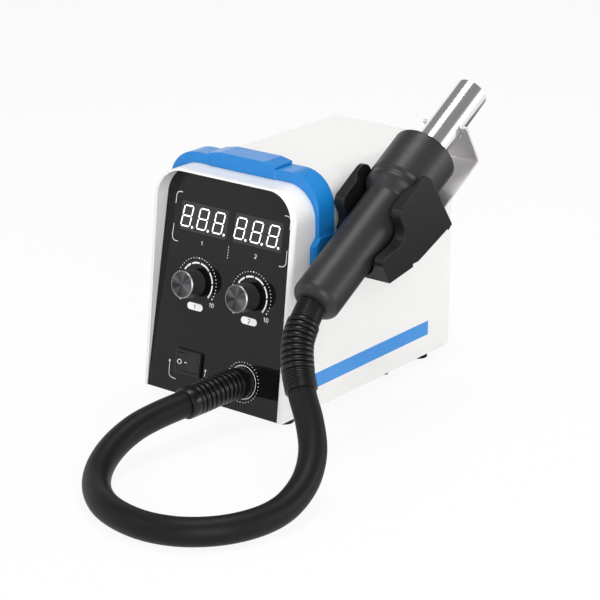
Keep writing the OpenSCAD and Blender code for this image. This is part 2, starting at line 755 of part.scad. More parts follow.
module pot(s) color("#8e9296") on_panel(s * knob_u, knob_v) difference() {
  union() {
    translate([-pot_w / 2, -pot_l / 2, pot_back]) cube([pot_w, pot_l, pot_front - pot_back]);
    translate([0, 0, pot_front - 1]) cylinder(h = 1.3, d = shaft_d + 3.6);
  }
  translate([0, 0, shaft_in - 0.1]) cylinder(h = 20, d = shaft_d + 2 * running_gap);
}
module pot_left() pot(-1);
module pot_right() pot(1);

// The shaft has a flat over the panel, and the knob's hole matches it
module shaft(s) color("#b9bcc0") on_panel(s * knob_u, knob_v) difference() {
  translate([0, 0, shaft_in]) cylinder(h = shaft_out - shaft_in, d = shaft_d);
  translate([-shaft_d, flat_at, flat_from]) cube([2 * shaft_d, shaft_d, 40]);
}
module shaft_left() shaft(-1);
module shaft_right() shaft(1);

// A plain barrel over a narrower skirt, hollow round the shaft
module knob(s) color("#3a3c3f") on_panel(s * knob_u, knob_v) difference() {
  top = knob_h - knob_cap_t;
  union() {
    translate([0, 0, knob_lift]) cylinder(h = top - knob_lift, d = knob_d - 2 * knob_flare);
    translate([0, 0, knob_base_h]) cylinder(h = 0.5, d1 = knob_d - 1, d2 = knob_d);
    translate([0, 0, knob_base_h + 0.5]) cylinder(h = top - knob_base_h - 0.5, d = knob_d);
  }
  difference() {
    translate([0, 0, -1]) cylinder(h = shaft_out + 1 + 0.2, d = shaft_d + 2 * running_gap);
    translate([-shaft_d, flat_at + running_gap, -2]) cube([2 * shaft_d, shaft_d, 40]);
  }
  translate([0, 0, top - 1.2]) cylinder(h = 3, d = knob_d * 0.55 + 0.1);
}
module knob_left() knob(-1);
module knob_right() knob(1);

// A turned metal cap with a bright chamfer and a dished face
module knob_cap(s) color("#d7d8da") on_panel(s * knob_u, knob_v)
  translate([0, 0, knob_h - knob_cap_t + 0.05]) difference() {
    union() {
      translate([0, 0, -1]) cylinder(h = 2, d = knob_d * 0.55);
      cylinder(h = knob_cap_t - 1.05, d = knob_d);
      translate([0, 0, knob_cap_t - 1.05]) cylinder(h = 1, d1 = knob_d, d2 = knob_d - 2);
    }
    translate([0, 0, knob_cap_t - 0.25]) cylinder(h = 1, d1 = knob_d - 3.4, d2 = knob_d - 2.6);
  }
module knob_cap_left() knob_cap(-1);
module knob_cap_right() knob_cap(1);

module switch_housing() color("#1b1c1e") on_panel(switch_u, switch_v) difference() {
  union() {
    translate([0, 0, 0.05]) linear_extrude(switch_rise - 0.65) rounded(switch_w, switch_hgt, 1.4);
    translate([0, 0, switch_rise - 0.7]) linear_extrude(0.7)
      rounded(switch_w - 1.2, switch_hgt - 1.2, 0.9);
    translate([0, 0, -switch_depth]) linear_extrude(switch_depth + 0.5)
      square([switch_body_u, switch_body_v], center = true);
    for (x = [-5, 1]) translate([x, -2.4, -switch_depth - 7]) cube([0.8, 4.8, 8]);
  }
  translate([0, 0, rocker_h - 5.6]) linear_extrude(20)
    square([switch_open_u, switch_open_v], center = true);
  translate([0, switch_body_v / 2 + 1, rocker_h]) rotate([90, 0, 0])
    cylinder(h = switch_body_v + 2, r = rocker_pin_r + running_gap);
}

// The rocker's ends are arcs about its pivot, its face a shallow V. It rests
// with its right half pressed in
module switch_rocker() color("#222326") on_panel(switch_u, switch_v)
  translate([0, 0, rocker_h]) rotate([0, rocker_tilt, 0]) {
    w = switch_open_v - 2 * rocker_gap;
    difference() {
      rotate([90, 0, 0]) translate([0, 0, -w / 2]) linear_extrude(w) intersection() {
        circle(rocker_r);
        polygon([[-10, 3.4], [0, 2.3], [10, 3.4], [10, -1], [4, -4], [-4, -4], [-10, -1]]);
      }
      // Sunk marks on the raised half: a ring and a bar
      translate([-5.9, 0, 2.7]) linear_extrude(2) difference() {
        circle(1.6);
        circle(1.15);
      }
      translate([-2.4, -0.3, 2.25]) cube([2, 0.6, 2]);
    }
    rotate([90, 0, 0]) translate([0, 0, -w / 2 - 0.9])
      cylinder(h = w + 1.8, r = rocker_pin_r);
  }

// The hose

module hose_port() color("#26272a") on_panel(port_u, port_v) difference() {
  union() {
    translate([0, 0, 0.05]) cylinder(h = port_flange_t, d = port_flange_d);
    translate([0, 0, -port_in]) cylinder(h = port_in + 1, d = port_tube_d);
  }
  translate([0, 0, -port_in - 1]) cylinder(h = port_in + 0.9, d = port_bore_d);
}
module port_nut() color("#8e9296") on_panel(port_u, port_v)
  translate([0, 0, -panel_t - 0.1 - nut_t]) difference() {
    linear_extrude(nut_t) circle(d = nut_d, $fn = 6);
    translate([0, 0, -1]) cylinder(h = nut_t + 2, d = port_tube_d + 0.1);
  }

sleeve_low = sleeve_r - 1.5;
PORT_RIBS = 9;
PORT_RINGS = let (t0 = (port_flange_t + 0.15) / port_step, t1 = t0 + port_collar / port_step,
    t2 = t_port - end_collar / port_step)
  concat([[t0, sleeve_r - 0.4], [t0 + 0.02, sleeve_r], [t1 - 0.02, sleeve_r]],
         ribs(t1, PORT_RIBS, rib_pitch / port_step, sleeve_low, sleeve_r - 0.1),
         [[t2, sleeve_low], [t2 + 0.02, sleeve_r], [t_port - 0.02, sleeve_r],
          [t_port, sleeve_r - 0.4]]);
module port_sleeve() color("#222325") set_down() tube_along(PORT_RINGS, 16);

// Fine rings round both ends of the handpiece's sleeve, ribs between them
function fine(t, low) = [for (i = [0 : 2 * fine_rings - 1])
  [t + i * fine_pitch / 2 / gun_step, low + (i % 2 == 0 ? 0 : 0.7)]];
GUN_RIBS = 9;
GUN_RINGS = let (t1 = t_gun + 0.8 / gun_step,
    t2 = t1 + fine_rings * fine_pitch / gun_step,
    t3 = LAST - (fine_rings * fine_pitch + 1) / gun_step)
  concat([[t_gun, sleeve_r - 0.3], [t1 - 0.01, sleeve_r - 0.3]], fine(t1, sleeve_low + 0.4),
         ribs(t2, GUN_RIBS, rib_pitch / gun_step, sleeve_low, sleeve_r),
         fine(t3, sleeve_low - 0.3), [[LAST, hose_r - 0.3]]);
module gun_sleeve() color("#222325") set_down() tube_along(GUN_RINGS, 16);

module hose() color("#1d1e20") set_down() tube_along(
  [for (i = [0 : 48]) [t_port + (t_gun - t_port) * i / 48, hose_r]], 12);

// The handpiece

module grip_shell() color("#2b2c2f") on_gun() rotate_extrude() difference() {
  union() {
    translate([0, tail_r]) square([grip_r, head_from - tail_r]);
    square([grip_r - tail_r, head_from]);
    translate([grip_r - tail_r, tail_r]) circle(tail_r);
  }
  translate([-50, -1]) square([50, 200]);
  translate([0, tail_r * 0.6]) square([grip_r - shell_t, head_from]);
  translate([0, -1]) square([5, 10]);
}

// The shoulder swells from the grip into a bead, then a shallow valley and the head
BEAD_L = 9.6;
bead_r = head_r - 0.7;
VALLEY = 0.45;
// A point of the smooth step from radius r0 to r1 over a length, q from 0 to 1
function swell(r0, r1, z, l, q, lead) =
  [r0 + (r1 - r0) * (1 - cos(180 * pow(q, lead))) / 2, z + l * q];
HEAD_PROFILE = let (z0 = head_from + 0.1, z1 = z0 + BEAD_L) concat(
  [[0, z0], [grip_r, z0], [grip_r, z0 + 0.6]],
  [for (i = [1 : 16]) swell(grip_r, bead_r, z0 + 0.6, BEAD_L - 0.6, i / 16, 0.7)],
  [for (i = [1 : 8]) swell(bead_r, bead_r - VALLEY, z1, 2.4, i / 8, 1)],
  [for (i = [1 : 8]) swell(bead_r - VALLEY, head_r, z1 + 2.4, 3, i / 8, 1)],
  [for (i = [0 : 6]) let (a = 90 * i / 6)
    [head_r - 1.5 * (1 - cos(a)), head_to - 1.5 * (1 - sin(a))]],
  [[0, head_to]]);
module head_shell() color("#2b2c2f") on_gun() rotate_extrude() difference() {
  in_r = head_r - shell_t - 1;
  polygon(HEAD_PROFILE);
  // Hollow, with a front wall round the barrel
  polygon([[0, head_from - 1], [grip_r - shell_t, head_from - 1],
           [grip_r - shell_t, head_from + 8], [in_r, head_from + 14],
           [in_r, head_to - 2.4], [0, head_to - 2.4]]);
  translate([0, head_to - 4]) square([barrel_d / 2 + 0.1, 8]);
}

module head_collar() color("#cfc8b8") on_gun() difference() {
  translate([0, 0, head_to - 2.5 - 8]) cylinder(h = 8, r = head_r - shell_t - 1.1);
  translate([0, 0, head_to - 20]) cylinder(h = 30, r = barrel_d / 2 + 0.1);
  for (i = [0 : 5]) rotate(30 + i * 60) translate([(head_r + barrel_d / 2) / 2 - 1, 0, head_to - 20])
    cylinder(h = 30, r = 1.8);
}

module barrel() color("#c7c9cc") on_gun() difference() {
  union() {
    translate([0, 0, head_to - 14]) cylinder(h = barrel_to - head_to + 14, d = barrel_d);
    translate([0, 0, head_to - 14]) cylinder(h = 1.2, d = barrel_d + 8);
  }
  translate([0, 0, head_to - 30]) cylinder(h = 200, d = barrel_d - 2 * barrel_t);
}

module heater_core() color("#e4ddcc") on_gun() difference() {
  r = barrel_d / 2 - barrel_t - 0.1;
  union() {
    translate([0, 0, head_to - 12]) cylinder(h = barrel_to - head_to, r = r - 1.6);
    translate([0, 0, head_to - 12]) cylinder(h = 4, r = r);
    translate([0, 0, barrel_to - 22]) cylinder(h = 4, r = r);
    // The heating coil shows as rings on the core
    for (i = [0 : 7]) translate([0, 0, head_to - 4 + i * 4.4]) rotate_extrude()
      translate([r - 1.6, 0]) circle(0.7, $fn = 16);
  }
  for (i = [0 : 5]) rotate(i * 60) translate([4.6, 0, head_to - 20]) cylinder(h = 80, r = 1.5);
  translate([0, 0, head_to - 20]) cylinder(h = 80, r = 1.6);
}

// The cradle and the barrel rest

// Side outline, each corner [along the handpiece, down from its axis, radius]:
// a rising front horn, a deep hollow behind it and a low rear horn
CRADLE_SIDE = [
  [40.7, 15.8, 0.6], [41.6, -2, 4], [68.8, 5.9, 8], [68.6, -15.2, 6], [103.8, -15.8, 7],
  [107, 30.7, 0.4], [102.4, 31.2, 0], [101.9, 30, 0.4], [69.2, 25.4, 3], [64, 22.6, 0.4],
  [63.7, 24.6, 0.4]];
module gun_side(half) {
  rotate([0, 90, 0]) translate([0, 0, -half]) linear_extrude(2 * half) children();
}
inner_cheek_y = 7;
inner_cheek_z = 63;
module cradle() color("#232427") on_gun() difference() {
  union() {
    gun_side(cradle_w / 2)
      polygon([for (p = rounded_outline(CRADLE_SIDE)) [-p[0], p[1]]]);
    for (p = CRADLE_SCREWS) translate([-gun_x + body_w / 2 + 0.1, p[1], p[0]])
      rotate([0, 90, 0]) cylinder(h = cradle_x0 - body_w / 2 + 1, d = boss_d);
  }
  // The grip's channel, round at the bottom and open at the top
  channel(channel_half, grip_r + cradle_gap - channel_half, 30, 120);
  head_pocket(head_r + cradle_gap);
  // The cheek at the wall has no front horn
  translate([-cradle_w / 2 - 1, inner_cheek_y - 60, 30])
    cube([cradle_w / 2 + 2 - channel_half, 60, inner_cheek_z - 30]);
  for (p = CRADLE_SCREWS) translate([-gun_x + body_w / 2 - 1, p[1], p[0]])
    rotate([0, 90, 0]) cylinder(h = 13.5, r = screw_r + thread_gap);
  // The slot for the rest, open to the front, and its screw holes
  translate([-rest_w / 2 - rest_slot_gap, rest_slot_y - rest_slot_gap, rest_from - 0.5])
    cube([rest_w + 2 * rest_slot_gap, rest_t + 2 * rest_slot_gap, 30]);
  for (s = SIDES) translate([s * rest_screw_x, 0, rest_screw_z]) rotate([-90, 0, 0]) {
    translate([0, 0, rest_slot_y - 3]) cylinder(h = 20, r = screw_r + thread_gap);
    translate([0, 0, rest_seat_y]) cylinder(h = 20, d = screw_head_d + 0.6);
  }
}
// The cheeks thin out beside the bead and the head, which lift straight up
module head_pocket(r) {
  translate([0, 0, pocket_from])
    cylinder(h = pocket_to - pocket_from, r1 = channel_half, r2 = r);
  translate([0, 0, pocket_to]) cylinder(h = 40, r = r);
  rotate([90, 0, 0]) linear_extrude(60) polygon([
    [-channel_half, pocket_from], [-r, pocket_to], [-r, pocket_to + 40],
    [r, pocket_to + 40], [r, pocket_to], [channel_half, pocket_from]]);
}
module channel(half, y, z0, z1) {
  translate([0, y, z0]) cylinder(h = z1 - z0, r = half, $fn = 96);
  translate([-half, y - 60, z0]) cube([2 * half, 60, z1 - z0]);
}
module cradle_screw_place(p) {
  translate([gun_x, gun_y, gun_z]) rotate([gun_rise - 90, 0, 0])
    translate([-gun_x + body_w / 2, p[1], p[0]]) rotate([0, 90, 0]) children();
}
module cradle_screws() color("#9a9da1") set_down() for (p = CRADLE_SCREWS)
  cradle_screw_place(p) translate([0, 0, -sheet_t - seat_gap]) rotate([180, 0, 0])
    screw(12);

// Bent sheet: a strap under the cradle and a fork that carries the barrel
module barrel_rest() color("#a9acb0") on_gun() difference() {
  union() {
    translate([-rest_w / 2, rest_slot_y, rest_from])
      cube([rest_w, rest_t, fork_at - rest_from]);
    translate([0, rest_slot_y - rest_t, fork_at - rest_t]) rotate([0, 90, 0])
      translate([0, 0, -rest_w / 2]) difference() {
        cylinder(h = rest_w, r = 2 * rest_t);
        translate([0, 0, -1]) cylinder(h = rest_w + 2, r = rest_t);
        translate([-10, -10, -1]) cube([20, 10, rest_w + 2]);
        translate([0, -1, -1]) cube([10, 20, rest_w + 2]);
      }
    translate([-rest_w / 2, -1.2, fork_at]) cube([rest_w, rest_slot_y - rest_t + 1.2, rest_t]);
    // Ears curled back at their tips
    for (s = SIDES) translate([s * (rest_w / 2 - 2.4) - 2.4, -1.2, fork_at - 0.6])
      rotate([0, 90, 0]) translate([-1.2, 0, 0]) cylinder(h = 4.8, r = 1.2);
  }
  for (s = SIDES) translate([s * rest_screw_x, 0, rest_screw_z]) rotate([-90, 0, 0])
    cylinder(h = 60, r = screw_hole_r);
  translate([0, 0, fork_at - 4]) {
    cylinder(h = 10, r = barrel_d / 2 + 0.3);
    translate([-barrel_d / 2 - 0.3, -20, 0]) cube([barrel_d + 0.6, 20, 10]);
  }
}
module rest_screws() color("#9a9da1") on_gun() for (s = SIDES)
  translate([s * rest_screw_x, rest_seat_y + 0.05, rest_screw_z]) rotate([-90, 0, 0])
    screw(5.6);

// Inside the housing

module blower_scroll() color("#3b3d40") set_down()
  translate([blower_x, blower_y, scroll_z]) difference() {
    union() {
      cylinder(h = scroll_h, r = scroll_in_r + scroll_wall);
      translate([outlet_x - outlet_w / 2 - scroll_wall, outlet_y - blower_y, 0])
        cube([outlet_w + 2 * scroll_wall, scroll_in_r + 6, scroll_h]);
    }
    translate([0, 0, scroll_wall]) cylinder(h = scroll_h, r = scroll_in_r);
    translate([outlet_x - outlet_w / 2, outlet_y - blower_y - 1, scroll_wall])
      cube([outlet_w, scroll_in_r + 7, scroll_h]);
    translate([0, 0, -1]) cylinder(h = 10, r = 3.2);
  }
module blower_lid() color("#3b3d40") set_down()
  translate([blower_x, blower_y, scroll_z + scroll_h + 0.1]) difference() {
    union() {
      cylinder(h = 1.6, r = scroll_in_r + scroll_wall);
      translate([outlet_x - outlet_w / 2 - scroll_wall, outlet_y - blower_y, 0])
        cube([outlet_w + 2 * scroll_wall, scroll_in_r + 6, 1.6]);
    }
    translate([0, 0, -1]) cylinder(h = 4, r = wheel_d * 0.28);
  }
module blower_wheel() color("#d9dadc") set_down()
  translate([blower_x, blower_y, scroll_z + scroll_wall + 1.4]) difference() {
    union() {
      cylinder(h = 1.6, d = wheel_d);
      cylinder(h = wheel_h * 0.7, r = 5);
      for (i = [0 : wheel_blades - 1]) rotate(i * 360 / wheel_blades)
        translate([wheel_d * 0.36, 0, 0.5]) rotate(40)
          translate([-wheel_d * 0.12, -0.6, 0]) cube([wheel_d * 0.24, 1.2, wheel_h - 0.5]);
    }
    translate([0, 0, -1]) cylinder(h = wheel_h * 0.5, r = 2.05);
  }
module blower_motor() color("#6d7074") set_down()
  translate([blower_x, blower_y, base_top + 0.05]) {
    cylinder(h = motor_h - 0.1, d = motor_d);
    cylinder(h = motor_h + scroll_wall + 5, r = 2);
  }
module air_duct() color("#55585c") set_down() {
  a = PORT_P - (nut_t + panel_t + 0.4) * OUT_DIR;
  b = PORT_P - (port_in + 12) * OUT_DIR;
  c = [port_u, outlet_y - 0.1, outlet_z];
  difference() {
    union() {
      rod(a, b - 1.6 * OUT_DIR, duct_d);
      rod(b + 0.03 * (b - c), c, duct_d);
    }
    rod(a + OUT_DIR, b - 1.2 * OUT_DIR, duct_in_d);
    rod(b + 0.02 * (b - c), c + 0.1 * (c - b), duct_in_d);
    translate([port_u - 20, outlet_y - 0.1, 0]) cube([40, 40, 60]);
  }
}

module power_board() color("#2f6b3a") set_down() translate([power_x, power_y, power_z])
  difference() {
    union() {
      linear_extrude(board_t) rounded(power_w, power_l, 2);
      for (i = [0, 1]) translate([3, power_l / 4 - 2 + i * cap_pitch, 0])
        cylinder(h = cap_h, d = cap_d);
      translate([-power_w / 2 + 4, 4, 0]) cube(relay);
      translate([-filter_coil.x / 2, -power_l / 2 + 8, 0]) cube(filter_coil);
    }
    for (i = SIDES, j = SIDES)
      translate([i * (power_w / 2 - pillar_in), j * (power_l / 2 - pillar_in), -1])
        cylinder(h = 4, r = screw_hole_r);
  }
module heat_sink() color("#b7babd") set_down()
  translate([power_x, power_y - 18, power_z + board_t + 0.05]) {
    translate([-sink_w / 2, -1.5, 0]) cube([sink_w, 3, sink_h]);
    for (i = [-4 : 4]) translate([i * fin_pitch - fin_t / 2, -fin_w / 2, 2])
      cube([fin_t, fin_w, sink_h - 2]);
  }

// Laminations with two windows that the winding goes through, on a bolted foot
module transformer_core() color("#7b7e82") set_down()
  translate([trafo_x, trafo_y, base_top + 0.05]) difference() {
    union() {
      translate([-trafo_foot_w / 2, -trafo_bolt_y - 4, 0])
        cube([trafo_foot_w, 2 * trafo_bolt_y + 8, trafo_foot_t]);
      translate([-core_t / 2, -core_w / 2 + 4, 0]) cube([core_t, core_w - 8, core_h]);
    }
    for (s = SIDES) translate([-core_t, s * core_w * 0.19 - window_w / 2, limb_h])
      cube([2 * core_t, window_w, core_h - 2 * limb_h + 1]);
    for (i = SIDES) translate([i * trafo_bolt_x, -i * trafo_bolt_y, -1])
      cylinder(h = 4, r = trafo_hole_r);
  }
module transformer_coil() color("#c8a24a") set_down()
  translate([trafo_x, trafo_y, base_top + 0.05]) difference() {
    out = core_w * 0.19 + window_w / 2 - 0.2;
    in = core_w * 0.19 - window_w / 2 + 0.1;
    translate([-core_t / 2 - coil_wall, -out, limb_h + 0.2])
      cube([core_t + 2 * coil_wall, 2 * out, core_h - 2 * limb_h + 0.6]);
    translate([-core_t / 2 - 0.1, -in, 0]) cube([core_t + 0.2, 2 * in, core_h]);
  }
module transformer_bolts() color("#2a2b2d") set_down() transformer_places() {
  translate([0, 0, -washer_t - seat_gap]) cylinder(h = washer_t, d = bolt_head_d + 1);
  translate([0, 0, -washer_t - bolt_head_h - seat_gap]) linear_extrude(bolt_head_h + 0.1)
    circle(d = bolt_head_d, $fn = 6);
  translate([0, 0, -0.5]) cylinder(h = base_top + trafo_foot_t + 4.6, r = trafo_bolt_r);
  translate([0, 0, base_top + trafo_foot_t + 0.1]) linear_extrude(3) difference() {
    circle(d = trafo_nut_d, $fn = 6);
    circle(1);
  }
}

module mains_inlet() color("#1b1c1e") set_down() translate([inlet_x, rear_y, inlet_z])
  rotate([90, 0, 0]) difference() {
    union() {
      translate([0, 0, -2]) linear_extrude(1.95) rounded(inlet_w + 3, inlet_h + 3, 3);
      translate([0, 0, -1]) linear_extrude(inlet_depth) rounded(inlet_w - 1.6, inlet_h - 1.6, 2);
      for (i = [-1 : 1]) translate([i * blade_pitch - 0.4, -3, inlet_depth - 2]) cube([0.8, 6, 8]);
    }
    translate([0, 0, -3]) linear_extrude(inlet_depth - 4) difference() {
      rounded(inlet_w - 5, inlet_h - 5, 1.5);
      for (i = [-1 : 1]) translate([i * blade_pitch, i == 0 ? 2 : -1])
        square([2, 4.5], center = true);
    }
  }
module fuse_holder() color("#1b1c1e") set_down() translate([fuse_x, rear_y, fuse_z])
  rotate([90, 0, 0]) difference() {
    union() {
      translate([0, 0, -2.2]) cylinder(h = 2.15, d = 15);
      translate([0, 0, -1]) cylinder(h = 26, d = fuse_d);
    }
    translate([-5, -0.6, -3]) cube([10, 1.2, 1.6]);
  }

module feet() color("#1f2022") set_down() for (p = FEET) translate([p.x, p.y, -foot_h])
  difference() {
    cylinder(h = foot_h, d1 = foot_d - 1, d2 = foot_d);
    translate([0, 0, -1]) cylinder(h = foot_h - 1, d = screw_head_d + 0.6);
    cylinder(h = 20, r = screw_hole_r);
  }
module foot_screws() color("#9a9da1") set_down() for (p = FEET)
  translate([p.x, p.y, -2.05]) rotate([180, 0, 0])
    screw(p.y < seam_y ? 7.6 : 4.4);
module board_screws() color("#9a9da1") {
  on_panel() for (s = SIDES, v = post_v)
    translate([s * post_u, v, board_h - board_t - 0.05]) rotate([180, 0, 0]) screw(4.6);
  set_down() for (p = POWER_PILLARS) translate([p.x, p.y, power_z + board_t + 0.05]) screw(6);
}
module cover_screws() color("#9a9da1") set_down() {
  // Two sunk screws under the band, and two through the back
  for (s = SIDES) translate([s * body_w / 2, COVER_SCREWS_Y, COVER_SCREWS_Z])
    rotate([0, -90 * s, 0]) translate([0, 0, 0.05]) {
      cylinder(h = 1.15, d1 = screw_head_d, d2 = screw_d);
      cylinder(h = 6, r = screw_r);
    }
  for (s = SIDES) translate([s * flange_screw_x, rear_y + 0.05, flange_screw_z]) rotate([-90, 0, 0]) screw(4.4);
}

// Each line draws one node
housing_cover();
front_frame();
trim_band();
base_plate();
rear_panel();
front_panel();
display_left();
display_right();
control_board();
pot_left();
pot_right();
shaft_left();
shaft_right();
knob_left();
knob_right();
knob_cap_left();
knob_cap_right();
switch_housing();
switch_rocker();
hose_port();
port_nut();
port_sleeve();
hose();
gun_sleeve();
grip_shell();
head_shell();
head_collar();
barrel();
heater_core();
cradle();
cradle_screws();
barrel_rest();
rest_screws();
blower_scroll();
blower_lid();
blower_wheel();
blower_motor();
air_duct();
power_board();
heat_sink();
board_screws();
transformer_core();
transformer_coil();
transformer_bolts();
mains_inlet();
fuse_holder();
feet();
foot_screws();
cover_screws();
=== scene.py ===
# %% [markdown]
# A hot air rework station: a white steel housing with a sloped black panel, a blue
# trim band, a ribbed rubber hose that loops over the bench, and a heated handpiece
# that lies in a black cradle on the right side.
#
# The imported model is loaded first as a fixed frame. Everything in this lesson is in
# metres and in the frame's own axes: +Z up, the panel towards -Y, the cradle on +X.

# %% Load the frame
import json
import math

import bmesh
import bpy
from mathutils import Matrix, Vector


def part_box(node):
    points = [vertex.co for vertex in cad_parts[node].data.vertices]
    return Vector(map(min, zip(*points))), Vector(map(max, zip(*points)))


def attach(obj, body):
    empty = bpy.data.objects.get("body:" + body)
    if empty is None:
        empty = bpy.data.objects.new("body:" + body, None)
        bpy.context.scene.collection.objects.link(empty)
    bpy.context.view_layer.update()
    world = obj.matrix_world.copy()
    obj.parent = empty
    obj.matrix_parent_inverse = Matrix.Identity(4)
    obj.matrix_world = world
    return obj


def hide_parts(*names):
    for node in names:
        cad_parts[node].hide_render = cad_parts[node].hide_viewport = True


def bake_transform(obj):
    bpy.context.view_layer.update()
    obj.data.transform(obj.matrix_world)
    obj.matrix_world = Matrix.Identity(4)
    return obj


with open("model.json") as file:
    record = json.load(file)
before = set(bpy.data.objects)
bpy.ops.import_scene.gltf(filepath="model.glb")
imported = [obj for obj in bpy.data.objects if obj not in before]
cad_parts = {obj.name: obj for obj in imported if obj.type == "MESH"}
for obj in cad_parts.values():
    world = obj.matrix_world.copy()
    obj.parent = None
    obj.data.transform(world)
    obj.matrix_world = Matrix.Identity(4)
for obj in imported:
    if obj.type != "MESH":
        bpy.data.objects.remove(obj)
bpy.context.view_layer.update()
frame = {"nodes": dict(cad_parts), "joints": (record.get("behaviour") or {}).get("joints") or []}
nodes = frame["nodes"]
joints = {joint["name"]: joint for joint in frame["joints"]}

# %% [markdown]
# Sizes come from the frame. The foot of the front panel is the corner that the
# drawing of the unit starts from, and the joints say how the panel leans and how
# the handpiece slopes, so two small functions turn places on the panel and along
# the handpiece into points of the scene. Places on the panel are in millimetres from
# its foot: U runs across it and V runs up it.

# %% Places on the unit
MM = 0.001
BODY_DEPTH = 178.9 * MM
# The handpiece's tail, from the panel's foot
GUN_TAIL = Vector((85, -7.5, 85)) * MM
KNOB_U, KNOB_V = 21.6, 72.27
PORT_U, PORT_V = 22.7, 18.9

cover_low, cover_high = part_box("housing_cover")
foot_height = cover_low[2]
panel_foot = Vector(((cover_low[0] + cover_high[0]) / 2,
                     cover_high[1] - BODY_DEPTH, foot_height))

panel_out = Vector(joints["left_knob_turn"]["axis"]).normalized()
panel_up = Vector((0, panel_out.z, -panel_out.y))
lift_dir = Vector(joints["handpiece_lift"]["axis"]).normalized()
gun_dir = Vector((0, lift_dir.z, -lift_dir.y))
gun_tail = panel_foot + GUN_TAIL


def axes_matrix(origin, across, up, out):
    """A matrix that takes local x, y and z to three directions at a point."""
    turned = Matrix((across, up, out)).transposed().to_4x4()
    return Matrix.Translation(origin) @ turned


on_panel = axes_matrix(panel_foot, Vector((1, 0, 0)), panel_up, panel_out)
on_gun = axes_matrix(gun_tail, Vector((1, 0, 0)), -lift_dir, gun_dir)
print("panel up", [round(v, 4) for v in panel_up])
print("handpiece along", [round(v, 4) for v in gun_dir])

# %% [markdown]
# The camera stands to the right of the panel and a little above it, about 1.35 m
# away, with a long lens, as a product photographer would stand to keep the box
# from looking wide at the front.

# %% Camera
VIEW_TURN = math.radians(37.969)
VIEW_RISE = math.radians(19.412)
VIEW_AT = Vector((55.42, 64.25)) * MM
VIEW_DISTANCE = 1348.6 * MM
# Lens and film width, in millimetres as a photographer names them
LENS, FILM_WIDTH = 130.4, 36

view_right = Vector((math.cos(VIEW_TURN), math.sin(VIEW_TURN), 0))
view_back = Vector((math.sin(VIEW_TURN) * math.cos(VIEW_RISE),
                    -math.cos(VIEW_TURN) * math.cos(VIEW_RISE), math.sin(VIEW_RISE)))
view_up = view_back.cross(view_right)

camera_data = bpy.data.cameras.new("studio_camera")
camera_data.lens = LENS
camera_data.sensor_width = FILM_WIDTH
camera = bpy.data.objects.new("studio_camera", camera_data)
bpy.context.scene.collection.objects.link(camera)
camera.matrix_world = axes_matrix(
    panel_foot + view_right * VIEW_AT.x + view_up * VIEW_AT.y + view_back * VIEW_DISTANCE,
    view_right, view_up, view_back)
bpy.context.scene.camera = camera
print("camera at", [round(v, 3) for v in camera.matrix_world.translation])

# %% [markdown]
# Small helpers. One turns a hex colour, as a paint chart gives it, into the linear
# values that the renderer wants. One adds a node with its settings and links. The
# others each give a material one quality: its shades, its roughness or its grain.

# %% Material helpers


def linear(hex_colour):
    """sRGB hex to linear RGBA."""
    channels = [int(hex_colour[i:i + 2], 16) / 255 for i in (1, 3, 5)]
    return tuple(c / 12.92 if c <= 0.04045 else ((c + 0.055) / 1.055) ** 2.4
                 for c in channels) + (1.0,)


def add_node(tree, kind, settings=None, values=None, links=None):
    """Adds one node: attributes, socket values by name, and links to its sockets."""
    made = tree.nodes.new(kind)
    for key, value in (settings or {}).items():
        setattr(made, key, value)
    for key, value in (values or {}).items():
        made.inputs[key].default_value = value
    for key, source in (links or {}).items():
        tree.links.new(source, made.inputs[key])
    return made


def new_material(name, values):
    """A material with its surface shader's fixed values set; returns all three."""
    material = bpy.data.materials.new(name)
    material.use_nodes = True
    tree = material.node_tree
    shader = tree.nodes["Principled BSDF"]
    for key, value in values.items():
        shader.inputs[key].default_value = value
    return material, tree, shader


def grain(tree, shader, size, height, detail=3.0, soft_edge=0.0):
    """A fine moulded or sprayed texture as bump; soft_edge shades the edges round."""
    place = add_node(tree, "ShaderNodeTexCoord")
    noise = add_node(tree, "ShaderNodeTexNoise", values={"Scale": 1 / size, "Detail": detail},
                     links={"Vector": place.outputs["Object"]})
    bump = add_node(tree, "ShaderNodeBump", values={"Strength": 1.0, "Distance": height},
                    links={"Height": noise.outputs["Fac"]})
    if soft_edge:
        edge = add_node(tree, "ShaderNodeBevel", {"samples": 8}, {"Radius": soft_edge})
        tree.links.new(edge.outputs["Normal"], bump.inputs["Normal"])
    tree.links.new(bump.outputs["Normal"], shader.inputs["Normal"])


def shades(tree, shader, noise, dark, light, low=0.3, high=0.7):
    """Base colour that follows a noise, from one hex colour at low to one at high."""
    ramp = add_node(tree, "ShaderNodeValToRGB", links={"Fac": noise.outputs["Fac"]})
    for stop, position, colour in zip(ramp.color_ramp.elements, (low, high), (dark, light)):
        stop.position = position
        stop.color = linear(colour)
    tree.links.new(ramp.outputs["Color"], shader.inputs["Base Color"])


def mottle(tree, shader, dark, light, size):
    """Slow colour variation between two hex colours."""
    place = add_node(tree, "ShaderNodeTexCoord")
    noise = add_node(tree, "ShaderNodeTexNoise", values={"Scale": 1 / size, "Detail": 2.0},
                     links={"Vector": place.outputs["Object"]})
    shades(tree, shader, noise, dark, light)


def worn_roughness(tree, shader, low, high, size):
    """Roughness that wanders between two values, as handling leaves it."""
    place = add_node(tree, "ShaderNodeTexCoord")
    noise = add_node(tree, "ShaderNodeTexNoise", values={"Scale": 1 / size, "Detail": 4.0},
                     links={"Vector": place.outputs["Object"]})
    spread = add_node(tree, "ShaderNodeMapRange", values={"To Min": low, "To Max": high},
                      links={"Value": noise.outputs["Fac"]})
    tree.links.new(spread.outputs["Result"], shader.inputs["Roughness"])


